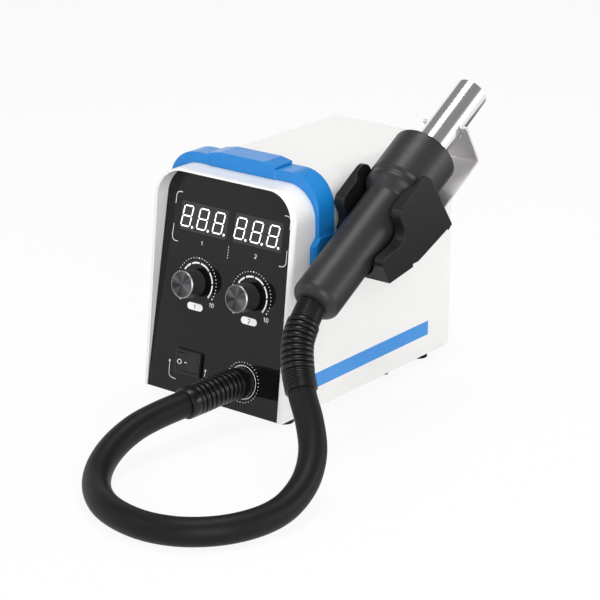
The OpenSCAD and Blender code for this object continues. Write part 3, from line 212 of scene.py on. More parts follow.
# %% [markdown]
# The housing and the hood are steel sheet with a white powder coat. Powder melts
# into a hard skin with a very fine orange peel, so the gloss is broken up at just
# under a millimetre, and the white is slightly warm.

# %% White powder coat
powder_coat, tree, shader = new_material("powder_coat_white", {
    "Roughness": 0.36, "Coat Weight": 0.3, "Coat Roughness": 0.18})
mottle(tree, shader, "#ecebe9", "#efeeec", 60 * MM)
grain(tree, shader, 0.9 * MM, 0.008 * MM)
print("powder coat is ready")

# %% [markdown]
# The trim band is injection-moulded ABS from a polished tool: a clean saturated
# blue with a clear gloss and no texture.

# %% Blue gloss ABS
blue_abs, tree, shader = new_material("abs_blue_polished", {
    "IOR": 1.5, "Specular IOR Level": 0.36, "Coat Weight": 0.06, "Coat Roughness": 0.1})
mottle(tree, shader, "#187ec9", "#1a82ce", 60 * MM)
worn_roughness(tree, shader, 0.24, 0.28, 40 * MM)
print("blue ABS is ready")

# %% [markdown]
# The front panel is acrylic sheet, black behind and polished in front. It mirrors
# the knobs, so its roughness is close to nothing, and its black lets the two
# displays show only when they are lit.

# %% Black acrylic
black_acrylic, tree, shader = new_material("acrylic_black_polished", {
    "IOR": 1.49, "Specular IOR Level": 0.3})
mottle(tree, shader, "#0f0f10", "#121213", 60 * MM)
worn_roughness(tree, shader, 0.005, 0.02, 30 * MM)

display_resin, tree, shader = new_material("display_filter_smoked", {
    "IOR": 1.5, "Specular IOR Level": 0.42})
mottle(tree, shader, "#29292a", "#2c2c2d", 20 * MM)
worn_roughness(tree, shader, 0.05, 0.08, 20 * MM)

lit_segment, tree, shader = new_material("led_segment_white", {
    "Base Color": linear("#ffffff"), "Emission Color": linear("#ffffff"),
    "Emission Strength": 1.0, "Roughness": 0.4})
print("acrylic, smoked filter and lit segments are ready")

# %% [markdown]
# Knobs: a dark satin barrel under a cap of turned aluminium, anodised nearly black.
# The lathe leaves rings finer than a tenth of a millimetre, too fine to draw. The
# shader is anisotropic, with its tangent round the local axis, as the rings run. The
# fan of light and dark that such a face shows under lamps is painted into the base
# colour as a painted sheen: a noise that looks only at the direction from the cap's
# middle, so that each band of painted highlight and shade runs out in a sector.

# %% Knob finishes
knob_barrel, tree, shader = new_material("abs_black_satin", {"Specular IOR Level": 0.35})
mottle(tree, shader, "#28292a", "#2d2e2f", 12 * MM)
worn_roughness(tree, shader, 0.38, 0.46, 4 * MM)
grain(tree, shader, 0.3 * MM, 0.004 * MM)

turned_cap, tree, shader = new_material("aluminium_turned_black_anodised", {
    "Metallic": 1.0, "Roughness": 0.3, "Anisotropic": 0.9})
place = add_node(tree, "ShaderNodeTexCoord")
in_plane = add_node(tree, "ShaderNodeVectorMath", {"operation": "MULTIPLY"}, {1: (1, 1, 0)},
                    {0: place.outputs["Object"]})
spoke = add_node(tree, "ShaderNodeVectorMath", {"operation": "NORMALIZE"},
                 links={0: in_plane.outputs["Vector"]})
# painted sheen: the base colour runs dark and light in sectors round the cap's middle
painted_sheen_sectors = add_node(tree, "ShaderNodeTexNoise", values={"Scale": 1.5, "Detail": 1.0},
                   links={"Vector": spoke.outputs["Vector"]})
shades(tree, shader, painted_sheen_sectors, "#38383a", "#68686a", 0.36, 0.64)
around = add_node(tree, "ShaderNodeTangent", {"direction_type": "RADIAL", "axis": "Z"})
tree.links.new(around.outputs["Tangent"], shader.inputs["Tangent"])

cut_edge, tree, shader = new_material("aluminium_diamond_cut", {"Metallic": 1.0})
mottle(tree, shader, "#a2a2a4", "#acacae", 3 * MM)
worn_roughness(tree, shader, 0.36, 0.42, 2 * MM)
print("knob barrel, turned cap and its cut edge are ready")

# %% [markdown]
# The cradle and the sockets are black ABS from a spark-eroded tool, which gives an
# even satin. Its edges are shaded a millimetre round, so that they catch a soft
# light. The switch is the same plastic from a polished tool. The handpiece is
# glass-filled nylon, greyer and duller, because it has to stand near the heater.

# %% Moulded black plastics
black_abs, tree, shader = new_material("abs_black_eroded", {"Specular IOR Level": 0.26})
mottle(tree, shader, "#1a1a1b", "#1d1d1e", 24 * MM)
worn_roughness(tree, shader, 0.34, 0.4, 9 * MM)
grain(tree, shader, 0.45 * MM, 0.006 * MM, soft_edge=1.0 * MM)

glossy_black_abs, tree, shader = new_material("abs_black_gloss", {"Specular IOR Level": 0.4})
mottle(tree, shader, "#151516", "#19191a", 9 * MM)
worn_roughness(tree, shader, 0.22, 0.3, 5 * MM)

charcoal_nylon, tree, shader = new_material("nylon_glass_filled_charcoal", {
    "Specular IOR Level": 0.34})
mottle(tree, shader, "#28282a", "#2c2c2d", 30 * MM)
worn_roughness(tree, shader, 0.38, 0.44, 12 * MM)
grain(tree, shader, 0.5 * MM, 0.006 * MM)
print("eroded and polished ABS and glass-filled nylon are ready")

# %% [markdown]
# The barrel is drawn stainless tube, polished so smooth that it shows the lamp and
# the pale floor as long streaks. The rest under it is bent stainless sheet, brushed
# across in fine lines 12 mm long and half a millimetre apart. The zinc plate is for
# the base and the inner metal. All are metals, so their colour is the colour of
# their reflection.

# %% Steels
barrel_steel, tree, shader = new_material("stainless_tube_polished", {"Metallic": 1.0})
mottle(tree, shader, "#eeeeef", "#f2f2f3", 30 * MM)
worn_roughness(tree, shader, 0.14, 0.17, 30 * MM)

rest_steel, tree, shader = new_material("stainless_sheet_brushed", {
    "Metallic": 1.0, "Roughness": 0.55})
mottle(tree, shader, "#e2e0df", "#e9e7e6", 20 * MM)
place = add_node(tree, "ShaderNodeTexCoord")
LINE_LENGTH, LINE_GAP = 12 * MM, 0.5 * MM
stretch = add_node(tree, "ShaderNodeMapping",
                   values={"Scale": (1 / LINE_LENGTH, 1 / LINE_GAP, 1 / LINE_GAP)},
                   links={"Vector": place.outputs["Object"]})
lines = add_node(tree, "ShaderNodeTexNoise", values={"Scale": 1.0, "Detail": 2.0},
                 links={"Vector": stretch.outputs["Vector"]})
scratch = add_node(tree, "ShaderNodeBump", values={"Strength": 0.5, "Distance": 0.01 * MM},
                   links={"Height": lines.outputs["Fac"]})
tree.links.new(scratch.outputs["Normal"], shader.inputs["Normal"])

zinc_plate, tree, shader = new_material("mild_steel_zinc_plated", {"Metallic": 1.0})
mottle(tree, shader, "#a9abad", "#b8babb", 7 * MM)
worn_roughness(tree, shader, 0.34, 0.46, 5 * MM)
grain(tree, shader, 0.6 * MM, 0.006 * MM)

screw_steel, tree, shader = new_material("steel_blackened", {"Metallic": 1.0})
mottle(tree, shader, "#4a4b4d", "#5a5b5d", 3 * MM)
worn_roughness(tree, shader, 0.3, 0.45, 2 * MM)
print("four steels are ready")

# %% [markdown]
# The hose is silicone rubber, extruded and dusted with talc, so it is nearly black
# with a soft, wide highlight. The feet are the same. The ribbed sleeves are moulded
# rubber, blacker and a little shinier.

# %% Rubber
hose_rubber, tree, shader = new_material("silicone_rubber_extruded", {"Specular IOR Level": 0.18})
mottle(tree, shader, "#121213", "#151516", 30 * MM)
worn_roughness(tree, shader, 0.45, 0.51, 20 * MM)
grain(tree, shader, 0.7 * MM, 0.004 * MM)

sleeve_rubber, tree, shader = new_material("silicone_rubber_moulded", {"Specular IOR Level": 0.3})
mottle(tree, shader, "#0e0e0f", "#111112", 10 * MM)
worn_roughness(tree, shader, 0.26, 0.32, 6 * MM)
print("hose and sleeve rubber are ready")

# %% [markdown]
# What lies behind the vents and in the barrel's mouth: a green circuit board,
# varnished copper and core steel, ceramic in the handpiece, and pale nylon for the
# fan. The printing inks stand here too.

# %% Inner materials and inks
board_green, tree, shader = new_material("glass_epoxy_green", {"Roughness": 0.35})
mottle(tree, shader, "#1f5130", "#286139", 6 * MM)
copper_wire, tree, shader = new_material("copper_varnished", {"Metallic": 1.0, "Roughness": 0.3})
mottle(tree, shader, "#b5713c", "#c47f46", 4 * MM)
core_iron, tree, shader = new_material("core_steel_varnished", {"Metallic": 1.0, "Roughness": 0.5})
mottle(tree, shader, "#5b5c5e", "#66676a", 5 * MM)
heat_ceramic, tree, shader = new_material("steatite_ceramic", {"Roughness": 0.6})
mottle(tree, shader, "#d8d0bf", "#e2dbcb", 6 * MM)
fan_nylon, tree, shader = new_material("nylon_pale", {"Roughness": 0.5})
mottle(tree, shader, "#cfd0d2", "#d9dadb", 9 * MM)
white_ink, tree, shader = new_material("screen_ink_white", {"Roughness": 0.5})
mottle(tree, shader, "#f4f4f4", "#ffffff", 5 * MM)
blue_ink, tree, shader = new_material("screen_ink_blue", {"Roughness": 0.45})
mottle(tree, shader, "#418fd8", "#4794dc", 20 * MM)
dark_ink, tree, shader = new_material("screen_ink_black", {"Roughness": 0.5})
mottle(tree, shader, "#1a1a1b", "#222223", 5 * MM)
print(len(bpy.data.materials), "materials in all")

# %% [markdown]
# Each CAD node gets its finish by replacing what is in its material slot, and its
# smooth faces are shaded smooth. The pieces that are seen from near by also get
# rounded edges, in millimetres, because no moulded or bent edge is truly sharp. Flat
# faces are merged first, so that the bevel meets only real edges.

# %% Finishes for the nodes
FINISH = {
    powder_coat: ["housing_cover", "front_frame", "rear_panel"],
    blue_abs: ["trim_band"],
    rest_steel: ["barrel_rest"],
    zinc_plate: ["base_plate", "pot_left", "pot_right", "shaft_left",
                 "shaft_right", "port_nut", "blower_motor", "heat_sink"],
    black_acrylic: ["front_panel"],
    display_resin: ["display_left", "display_right"],
    board_green: ["control_board", "power_board"],
    knob_barrel: ["knob_left", "knob_right"],
    turned_cap: ["knob_cap_left", "knob_cap_right"],
    black_abs: ["cradle", "hose_port", "blower_scroll", "blower_lid", "mains_inlet",
                "fuse_holder", "air_duct"],
    glossy_black_abs: ["switch_housing", "switch_rocker"],
    hose_rubber: ["hose", "feet"],
    sleeve_rubber: ["port_sleeve", "gun_sleeve"],
    charcoal_nylon: ["grip_shell", "head_shell"],
    barrel_steel: ["barrel"],
    heat_ceramic: ["head_collar", "heater_core"],
    screw_steel: ["cradle_screws", "rest_screws", "board_screws", "foot_screws",
                  "cover_screws", "transformer_bolts"],
    fan_nylon: ["blower_wheel"],
    core_iron: ["transformer_core"],
    copper_wire: ["transformer_coil"],
}
EDGE_ROUNDING = {"trim_band": 0.6, "cradle": 1.3, "switch_housing": 0.3, "switch_rocker": 0.25,
                 "barrel_rest": 0.15, "housing_cover": 0.15, "rear_panel": 0.15,
                 "mains_inlet": 0.4, "feet": 0.4, "front_panel": 0.12}


def dress(node_name, material):
    """Finish, smooth shading and rounded edges for one CAD node."""
    piece = nodes[node_name]
    piece.data.materials.clear()
    piece.data.materials.append(material)
    piece.data.shade_smooth()
    piece.data.set_sharp_from_angle(angle=math.radians(28))
    if node_name in EDGE_ROUNDING:
        merge = piece.modifiers.new("merged_flats", "DECIMATE")
        merge.decimate_type = "DISSOLVE"
        merge.angle_limit = math.radians(0.5)
        bevel = piece.modifiers.new("rounded_edges", "BEVEL")
        bevel.width = EDGE_ROUNDING[node_name] * MM
        bevel.segments = 3
        bevel.limit_method = "ANGLE"
        bevel.angle_limit = math.radians(32)
        bevel.harden_normals = False


for finish, names in FINISH.items():
    for name in names:
        dress(name, finish)
print("dressed", sum(len(names) for names in FINISH.values()), "nodes")

# %% [markdown]
# The hose. It leaves the port straight, sinks to the bench, turns through a loop
# and climbs to the handpiece's tail. Its middle line goes through the same
# listed points as the frame's own hose, with a smooth curve through them.

# %% The hose's route
HOSE_DIAMETER = 16.5 * MM
LYING = HOSE_DIAMETER / 2
ROUTE = [
    (22, -14, 18), (20, -31, 17), (17, -48, 16), (14, -65, 14.5), (12, -82, 12),
    (13, -100, 8), (18, -117, 4), (27, -132, 1), (40, -145, 0), (56, -155, 0),
    (74, -160, 0), (92, -160, 0), (109, -154, 0), (123, -142, 0),
    (132, -126, 0), (136, -108, 0.5), (136.5, -92, 3.5), (133.5, -75, 10),
    (127, -61, 20), (117, -51, 32), (106, -44, 45), (96.5, -36, 57.5),
    (89.5, -26, 69)]
port_centre = on_panel @ (Vector((PORT_U, PORT_V, 0)) * MM)
# How far the curve's guide points lie beyond its two ends
lead = 18 * MM
route = [port_centre] + [
    Vector((panel_foot.x + x * MM, panel_foot.y + y * MM, LYING + z * MM))
    for x, y, z in ROUTE] + [gun_tail]
padded_route = [port_centre - panel_out * lead] + route + [gun_tail + gun_dir * lead]
LAST = len(route) - 1


def along_route(t):
    """Point on the smooth curve through the route, t counted in its spans."""
    i = min(int(t), LAST - 1)
    a, b, c, d = padded_route[i:i + 4]
    t -= i
    return 0.5 * (2 * b + (c - a) * t + (2 * a - 5 * b + 4 * c - d) * t ** 2
                  + (3 * b - a - 3 * c + d) * t ** 3)


def heading(t):
    """Direction of the curve, straight at both ends."""
    if t < 0.05:
        return panel_out
    if t > LAST - 0.02:
        return gun_dir
    return (along_route(t + 0.02) - along_route(t - 0.02)).normalized()


def arc_table(steps=1200):
    """Arc length for even steps of t, so that ribs can be spaced in millimetres."""
    lengths, total, last = [0.0], 0.0, along_route(0)
    for k in range(1, steps + 1):
        here = along_route(LAST * k / steps)
        total += (here - last).length
        lengths.append(total)
        last = here
    return lengths


ARC = arc_table()
HOSE_LENGTH = ARC[-1]


def at_length(s):
    """t at an arc length from the port."""
    s = min(max(s, 0.0), HOSE_LENGTH)
    low, high = 0, len(ARC) - 1
    while high - low > 1:
        mid = (low + high) // 2
        low, high = (mid, high) if ARC[mid] <= s else (low, mid)
    part = (s - ARC[low]) / max(ARC[high] - ARC[low], 1e-12)
    return LAST * (low + part) / (len(ARC) - 1)


print("hose, port to handpiece, is", round(HOSE_LENGTH, 4), "m long")

# %% [markdown]
# A tube along the route is made of rings of points. Each ring is carried over from
# the last one without twisting, and the radius may change from ring to ring, which
# is all that a ribbed sleeve needs.

# %% Tubes along the route


def new_piece(name, mesh_data, material, body):
    """Links a mesh as a piece of the unit that rides on a body."""
    mesh_data.materials.append(material)
    piece = bpy.data.objects.new(name, mesh_data)
    bpy.context.scene.collection.objects.link(piece)
    if body:
        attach(piece, body)
    return piece


def tube(name, rings, material, body, sides=48):
    """A closed tube; rings is a list of (arc length, radius)."""
    made = bmesh.new()
    first = heading(at_length(rings[0][0]))
    side = first.cross(Vector((0.3, 0.5, 0.9))).normalized()
    loops = []
    for s, radius in rings:
        t = at_length(s)
        ahead, centre = heading(t), along_route(t)
        side = (side - ahead * side.dot(ahead)).normalized()
        other = ahead.cross(side)
        turns = [2 * math.pi * k / sides for k in range(sides)]
        loops.append([made.verts.new(centre + radius * (side * math.cos(a) + other * math.sin(a)))
                      for a in turns])
    for near, far in zip(loops, loops[1:]):
        for k in range(sides):
            j = (k + 1) % sides
            made.faces.new((near[k], near[j], far[j], far[k]))
    made.faces.new(list(reversed(loops[0])))
    made.faces.new(loops[-1])
    mesh_data = bpy.data.meshes.new(name)
    made.to_mesh(mesh_data)
    made.free()
    mesh_data.shade_smooth()
    mesh_data.set_sharp_from_angle(angle=math.radians(50))
    return new_piece(name, mesh_data, material, body)


# %% [markdown]
# The hose is such a tube with one radius all the way. It takes the place of the
# plain solid in the frame.

# %% Hose
HOSE_STEPS = 200
hose = tube("air_hose", [(HOSE_LENGTH * k / HOSE_STEPS, HOSE_DIAMETER / 2)
                         for k in range(HOSE_STEPS + 1)], hose_rubber, None)
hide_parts("hose")
print("hose has", len(hose.data.vertices), "points")

# %% [markdown]
# Two ribbed sleeves keep the hose from kinking where it leaves the port and where
# it enters the handpiece. The ribs are rounded lands with narrow grooves between.
# The one at the port starts and ends in a plain collar. The one at the handpiece is
# finely ringed at both ends. Its stretches are placed from its lower end.

# %% Ribbed sleeves
SLEEVE_RADIUS = 9.8 * MM
GROOVE_RADIUS = 8.5 * MM
RIB_PITCH = 3.6 * MM


def rib_rings(start, count, pitch, low, high):
    """Rounded ribs: each is a small dome with a groove after it."""
    profile = [(0.00, 0.0), (0.05, 0.55), (0.11, 0.86), (0.22, 1.0), (0.64, 1.0),
               (0.75, 0.86), (0.81, 0.55), (0.86, 0.0)]
    return [(start + (i + x) * pitch, low + (high - low) * y)
            for i in range(count) for x, y in profile]


def collar_rings(start, length, radius, rounding=0.5 * MM):
    """A smooth collar with rounded edges."""
    return [(start, radius - rounding), (start + 0.3 * rounding, radius - 0.3 * rounding),
            (start + rounding, radius), (start + length - rounding, radius),
            (start + length - 0.3 * rounding, radius - 0.3 * rounding),
            (start + length, radius - rounding)]


PORT_START, PORT_RIBS = 1.7 * MM, 9
PORT_COLLAR, PORT_END_COLLAR, COLLAR_GAP = 8.0 * MM, 6.9 * MM, 0.3 * MM
port_rings = collar_rings(PORT_START, PORT_COLLAR, SLEEVE_RADIUS)
port_rings += rib_rings(PORT_START + PORT_COLLAR + COLLAR_GAP, PORT_RIBS, RIB_PITCH,
                        GROOVE_RADIUS, SLEEVE_RADIUS - 0.1 * MM)
port_rings += collar_rings(PORT_START + PORT_COLLAR + PORT_RIBS * RIB_PITCH,
                           PORT_END_COLLAR, SLEEVE_RADIUS)
port_sleeve = tube("port_sleeve_ribbed", port_rings, sleeve_rubber, "station")
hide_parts("port_sleeve")

FINE_PITCH = 1.5 * MM
LOW_RADIUS = SLEEVE_RADIUS - 0.2 * MM
TAIL_GROOVE_RADIUS, TAIL_RADIUS = 8.2 * MM, 8.9 * MM
GUN_SLEEVE_LENGTH = 57 * MM
LOW_FINE, LOW_FINE_RIBS = 1.1 * MM, 7
COARSE, COARSE_RIBS = 11.8 * MM, 9
TAIL_FINE, TAIL_FINE_RIBS = 44.4 * MM, 8
gun_start = HOSE_LENGTH - GUN_SLEEVE_LENGTH
gun_rings = collar_rings(gun_start, 1.0 * MM, LOW_RADIUS, 0.25 * MM)
gun_rings += rib_rings(gun_start + LOW_FINE, LOW_FINE_RIBS, FINE_PITCH,
                       GROOVE_RADIUS + 0.4 * MM, LOW_RADIUS)
gun_rings += rib_rings(gun_start + COARSE, COARSE_RIBS, RIB_PITCH, GROOVE_RADIUS, SLEEVE_RADIUS)
gun_rings += rib_rings(gun_start + TAIL_FINE, TAIL_FINE_RIBS, FINE_PITCH,
                       TAIL_GROOVE_RADIUS, TAIL_RADIUS)
gun_sleeve = tube("handpiece_sleeve_ribbed", gun_rings, sleeve_rubber, "handpiece")
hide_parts("gun_sleeve")
print("sleeves end", round(gun_rings[-1][0] - HOSE_LENGTH, 5), "m from the tail")

# %% [markdown]
# The hose bends when the handpiece is lifted. Here it rides on no body: its placing
# is baked into its points, the point where the handpiece's sleeve begins is found,
# and the route is listed at sixty-one even steps.

hose_end = along_route(at_length(gun_start))
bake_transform(hose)
[tuple(along_route(at_length(HOSE_LENGTH * k / 60))) for k in range(61)]

# %% [markdown]
# Turned pieces. A profile of radius and height is swept round the local Z axis. The
# barrel is one such piece, so that its reflections run in clean lines. Two extra
# rings hold its long wall straight up to its flange and its mouth, or the smooth
# shading would bend the reflections there. The knob caps are turned too, and their
# bright ring is the cut edge of the cap.

# %% Turned pieces


def lathe(name, profile, place, material, body, sides=128):
    """profile is a list of (radius, height); the piece keeps its own local axes."""
    made = bmesh.new()
    loops = []
    for radius, height in profile:
        if radius < 1e-7:
            loops.append([made.verts.new((0, 0, height))] * sides)
            continue
        loops.append([made.verts.new((radius * math.cos(2 * math.pi * k / sides),
                                      radius * math.sin(2 * math.pi * k / sides), height))
                      for k in range(sides)])
    for near, far in zip(loops, loops[1:]):
        for k in range(sides):
            j = (k + 1) % sides
            corners = list(dict.fromkeys((near[k], near[j], far[j], far[k])))
            if len(corners) > 2:
                made.faces.new(corners)
    mesh_data = bpy.data.meshes.new(name)
    made.to_mesh(mesh_data)
    made.free()
    mesh_data.shade_smooth()
    mesh_data.set_sharp_from_angle(angle=math.radians(35))
    piece = new_piece(name, mesh_data, material, None)
    piece.matrix_world = place
    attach(piece, body)
    return piece


BARREL_RADIUS, BARREL_BORE = 10.9 * MM, 10.1 * MM
BARREL_FOOT, BARREL_TIP = 117.2 * MM, 188 * MM
FLANGE_RADIUS, FLANGE_TOP = 14.9 * MM, BARREL_FOOT + 1.2 * MM
MOUTH_ROUNDING, BORE_ROUNDING = 0.25 * MM, 0.15 * MM
barrel_tube = lathe("barrel_tube", [
    (BARREL_BORE, BARREL_FOOT), (FLANGE_RADIUS, BARREL_FOOT),
    (FLANGE_RADIUS, FLANGE_TOP), (BARREL_RADIUS, FLANGE_TOP),
    (BARREL_RADIUS, FLANGE_TOP + 0.4 * MM), (BARREL_RADIUS, BARREL_TIP - 0.6 * MM),
    (BARREL_RADIUS, BARREL_TIP - MOUTH_ROUNDING),
    (BARREL_RADIUS - 0.08 * MM, BARREL_TIP - 0.07 * MM),
    (BARREL_RADIUS - MOUTH_ROUNDING, BARREL_TIP), (BARREL_BORE + BORE_ROUNDING, BARREL_TIP),
    (BARREL_BORE, BARREL_TIP - BORE_ROUNDING), (BARREL_BORE, BARREL_FOOT)],
    on_gun, barrel_steel, "handpiece")
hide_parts("barrel")

CAP_RADIUS, CAP_FOOT, CAP_TOP = 8.8 * MM, 12.25 * MM, 14.6 * MM
FACE_RADIUS, FACE_TOP = CAP_RADIUS - 1.0 * MM, CAP_TOP - 0.22 * MM
# The bright cut edge runs from the rim's inner point over its crest to its outer one
rim_inner = (CAP_RADIUS - 0.85 * MM, CAP_TOP - 0.05 * MM)
rim_crest = (CAP_RADIUS - 0.7 * MM, CAP_TOP)
rim_outer = (CAP_RADIUS - 0.1 * MM, CAP_TOP - 0.6 * MM)
for side, label in ((-1, "left"), (1, "right")):
    body = label + "_knob"
    place = on_panel @ Matrix.Translation((side * KNOB_U * MM, KNOB_V * MM, 0))
    face = lathe("knob_face_" + label, [(0, FACE_TOP), (FACE_RADIUS, FACE_TOP), rim_inner],
                 place, turned_cap, body)
    lathe("knob_rim_" + label, [rim_inner, rim_crest, rim_outer], place, cut_edge, body)
    lathe("knob_cap_" + label + "_side", [
        rim_outer, (CAP_RADIUS, CAP_TOP - 0.8 * MM), (CAP_RADIUS, CAP_FOOT), (0, CAP_FOOT)],
        place, knob_barrel, body)
    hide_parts("knob_cap_" + label)
print("turned the barrel and the knob caps")

# %% [markdown]
# Flat shapes such as screen print are thin sheets, cut from an outline and laid a
# few hundredths of a millimetre above the surface. A stroke function draws lines,
# arcs and numerals as flat ribbons of one width.

# %% Print helpers


def flat_sheet(name, outlines, place, lift, material, body):
    """Closed outlines, in millimetres on a local plane, become one thin sheet."""
    made = bmesh.new()
    for outline in outlines:
        corners = [made.verts.new(place @ Vector((x * MM, y * MM, lift))) for x, y in outline]
        made.faces.new(corners)
    bmesh.ops.recalc_face_normals(made, faces=made.faces)
    outward = (place.to_3x3() @ Vector((0, 0, 1)))
    for face in made.faces:
        if face.normal.dot(outward) < 0:
            face.normal_flip()
    mesh_data = bpy.data.meshes.new(name)
    made.to_mesh(mesh_data)
    made.free()
    return new_piece(name, mesh_data, material, body)


def ribbon(points, width):
    """A line of points as quads of one width; each quad is its own outline."""
    quads = []
    for (x0, y0), (x1, y1) in zip(points, points[1:]):
        length = math.hypot(x1 - x0, y1 - y0)
        if length < 1e-9:
            continue
        nx, ny = -(y1 - y0) / length * width / 2, (x1 - x0) / length * width / 2
        quads.append([(x0 + nx, y0 + ny), (x0 - nx, y0 - ny),
                      (x1 - nx, y1 - ny), (x1 + nx, y1 + ny)])
    return quads


def arc(cx, cy, radius, start, end, steps):
    """Points of an arc, angles in degrees from local x."""
    return [(cx + radius * math.cos(math.radians(start + (end - start) * k / steps)),
             cy + radius * math.sin(math.radians(start + (end - start) * k / steps)))
            for k in range(steps + 1)]


def disc(cx, cy, radius, steps):
    """A small round dot."""
    return arc(cx, cy, radius, 0, 360 * (steps - 1) / steps, steps - 1)


def pill(cx, cy, width, height, steps=10):
    """A bar with round ends."""
    r = height / 2
    return (arc(cx + width / 2 - r, cy, r, -90, 90, steps)
            + arc(cx - width / 2 + r, cy, r, 90, 270, steps))


# Each numeral is one stroke, in shares of its height, from its lower left corner
NUMERALS = {
    "0": [(0, .2), (0, .8), (.15, 1), (.45, 1), (.6, .8), (.6, .2), (.45, 0), (.15, 0), (0, .2)],
    "1": [(.1, .8), (.35, 1), (.35, 0)],
    "2": [(0, .8), (.12, 1), (.48, 1), (.6, .8), (.6, .62), (0, 0), (.6, 0)],
}
NUMERAL_PITCH = 0.86


def numeral(text, x, y, height, width):
    """Plain numerals as strokes, from their lower left corner."""
    quads = []
    for character in text:
        stroke = [(x + px * height, y + py * height) for px, py in NUMERALS[character]]
        quads += ribbon(stroke, width)
        x += height * NUMERAL_PITCH
    return quads


# %% [markdown]
# The panel's print: corner brackets round the displays, a dial scale round each
# knob with a row of dots outside it, a bar under each knob, a ring round the hose
# port and a bracket round the switch. Words and marks of a maker are left off, and
# plain numerals stand where a label helps.

# %% Panel print
BRACKET_LINE, THIN_LINE, NUMERAL_LINE = 0.42, 0.35, 0.4
NUMERAL_HEIGHT = 2.4
# The brackets round the displays, for the right half of the panel
UPPER_BRACKET = [(45.1, 118.3), (45.1, 123.6), (44.4, 125.4), (42.8, 126.1), (40.4, 126.1)]
LOWER_BRACKET = [(44.9, 105.6), (45.2, 98.2), (44.6, 96.2), (43.0, 95.2), (40.2, 95.1)]
# The dial scale, in five strokes from lower left over the top to lower right
DIAL_RADIUS, DIAL_LINE = 12.5, 1.1
DIAL_STROKES = ((148, 120), (115, 87), (82, 47), (42, 8), (3, -37))
DOTS_RADIUS, DOTS_FROM, DOTS_TO, DOTS_STEPS = 15.6, 162, -30, 24
SMALL_DOT, LARGE_DOT, LARGE_AT = 0.34, 0.5, (9, 24)
PILL_V, PILL_W, PILL_H = 57.2, 12.4, 4.5
CHANNEL_V = 96.2
# The short broken line between the two channels
DASH_U, DASH_V, DASH, DASH_PITCH = 0.3, 91.9, 0.9, 1.7
PORT_RING, PORT_RING_LINE = 10.4, 0.5
PORT_DOTS, PORT_DOT = 12.6, 0.32
SWITCH_BRACKET = [(-36.3, 19.0), (-36.0, 11.4), (-35.2, 9.9), (-33.8, 9.2), (-30.2, 8.9)]
SWITCH_STROKE = [(-7.0, 18.9), (-7.4, 15.2)]
SWITCH_DOT = 0.6

print_shapes = []
for s in (-1, 1):
    for bracket in (UPPER_BRACKET, LOWER_BRACKET):
        print_shapes += ribbon([(s * u, v) for u, v in bracket], BRACKET_LINE)
    centre = s * KNOB_U
    for start, end in DIAL_STROKES:
        print_shapes += ribbon(arc(centre, KNOB_V, DIAL_RADIUS, start, end, 10), DIAL_LINE)
    dots = arc(centre, KNOB_V, DOTS_RADIUS, DOTS_FROM, DOTS_TO, DOTS_STEPS)
    print_shapes += [disc(*dot, LARGE_DOT if k in LARGE_AT else SMALL_DOT, 8)
                     for k, dot in enumerate(dots)]
    print_shapes.append(pill(centre + 0.7, PILL_V, PILL_W, PILL_H))
    print_shapes += numeral("10", centre + 11.7, 59.5, NUMERAL_HEIGHT, NUMERAL_LINE)
    print_shapes += numeral("0", centre - 12.4, 59.7, NUMERAL_HEIGHT, NUMERAL_LINE)
for k in range(5):
    foot = DASH_V + k * DASH_PITCH
    print_shapes += ribbon([(DASH_U, foot), (DASH_U, foot + DASH)], THIN_LINE)
# Under the displays, plain numerals tell the two channels apart
print_shapes += numeral("1", -21.6, CHANNEL_V, NUMERAL_HEIGHT, THIN_LINE)
print_shapes += numeral("2", 21.0, CHANNEL_V, NUMERAL_HEIGHT, THIN_LINE)
print_shapes += ribbon(arc(PORT_U, PORT_V, PORT_RING, 0, 360, 60), PORT_RING_LINE)
print_shapes += [disc(*dot, PORT_DOT, 8) for dot in arc(PORT_U, PORT_V, PORT_DOTS, 0, 350, 35)]
print_shapes += ribbon(SWITCH_BRACKET, THIN_LINE) + ribbon(SWITCH_STROKE, THIN_LINE)
print_shapes += [disc(-36.4, 19.5, SWITCH_DOT, 12), disc(-7.0, 19.4, SWITCH_DOT, 12)]
panel_print = flat_sheet("panel_print", print_shapes, on_panel, 0.03 * MM, white_ink, "station")

# The same numerals stand in black on the pills
pill_numerals = (numeral("1", -21.8, 56.0, NUMERAL_HEIGHT, 0.45)
                 + numeral("2", 21.6, 56.0, NUMERAL_HEIGHT, 0.45))
flat_sheet("panel_print_pills", pill_numerals, on_panel, 0.06 * MM, dark_ink, "station")
print("panel print has", len(panel_print.data.polygons), "shapes")

# %% [markdown]
# The displays: three characters each, every one of seven bars and a point, lit
# white. The bars lie in the CAD node's own sunk bars, lean to the right and have
# pointed ends, as such displays do.

# %% Lit characters
CHAR_W, CHAR_H, BAR = 7.0, 13.0, 0.82
LEAN = 0.16
DISPLAY_W, DISPLAY_H, DISPLAY_GAP = 37.6, 18.6, 5.1
DISPLAY_V = 102.8 + DISPLAY_H / 2
CHAR_PITCH, CHAR_SHIFT = DISPLAY_W / 2.95, -0.9
POINT_OUT, POINT_RADIUS = 2.3, 0.78


def bar_outline(cx, cy, length, thick, upright):
    """One pointed bar of a character."""
    half, t = length / 2, thick / 2
    points = [(-half, 0), (-half + t, t), (half - t, t),
              (half, 0), (half - t, -t), (-half + t, -t)]
    return [(cx + (-y if upright else x), cy + (x if upright else y)) for x, y in points]


def leaning(outline, cx, cy):
    """Shears an outline to the right and moves it to its place."""
    return [(cx + x + LEAN * y, cy + y) for x, y in outline]


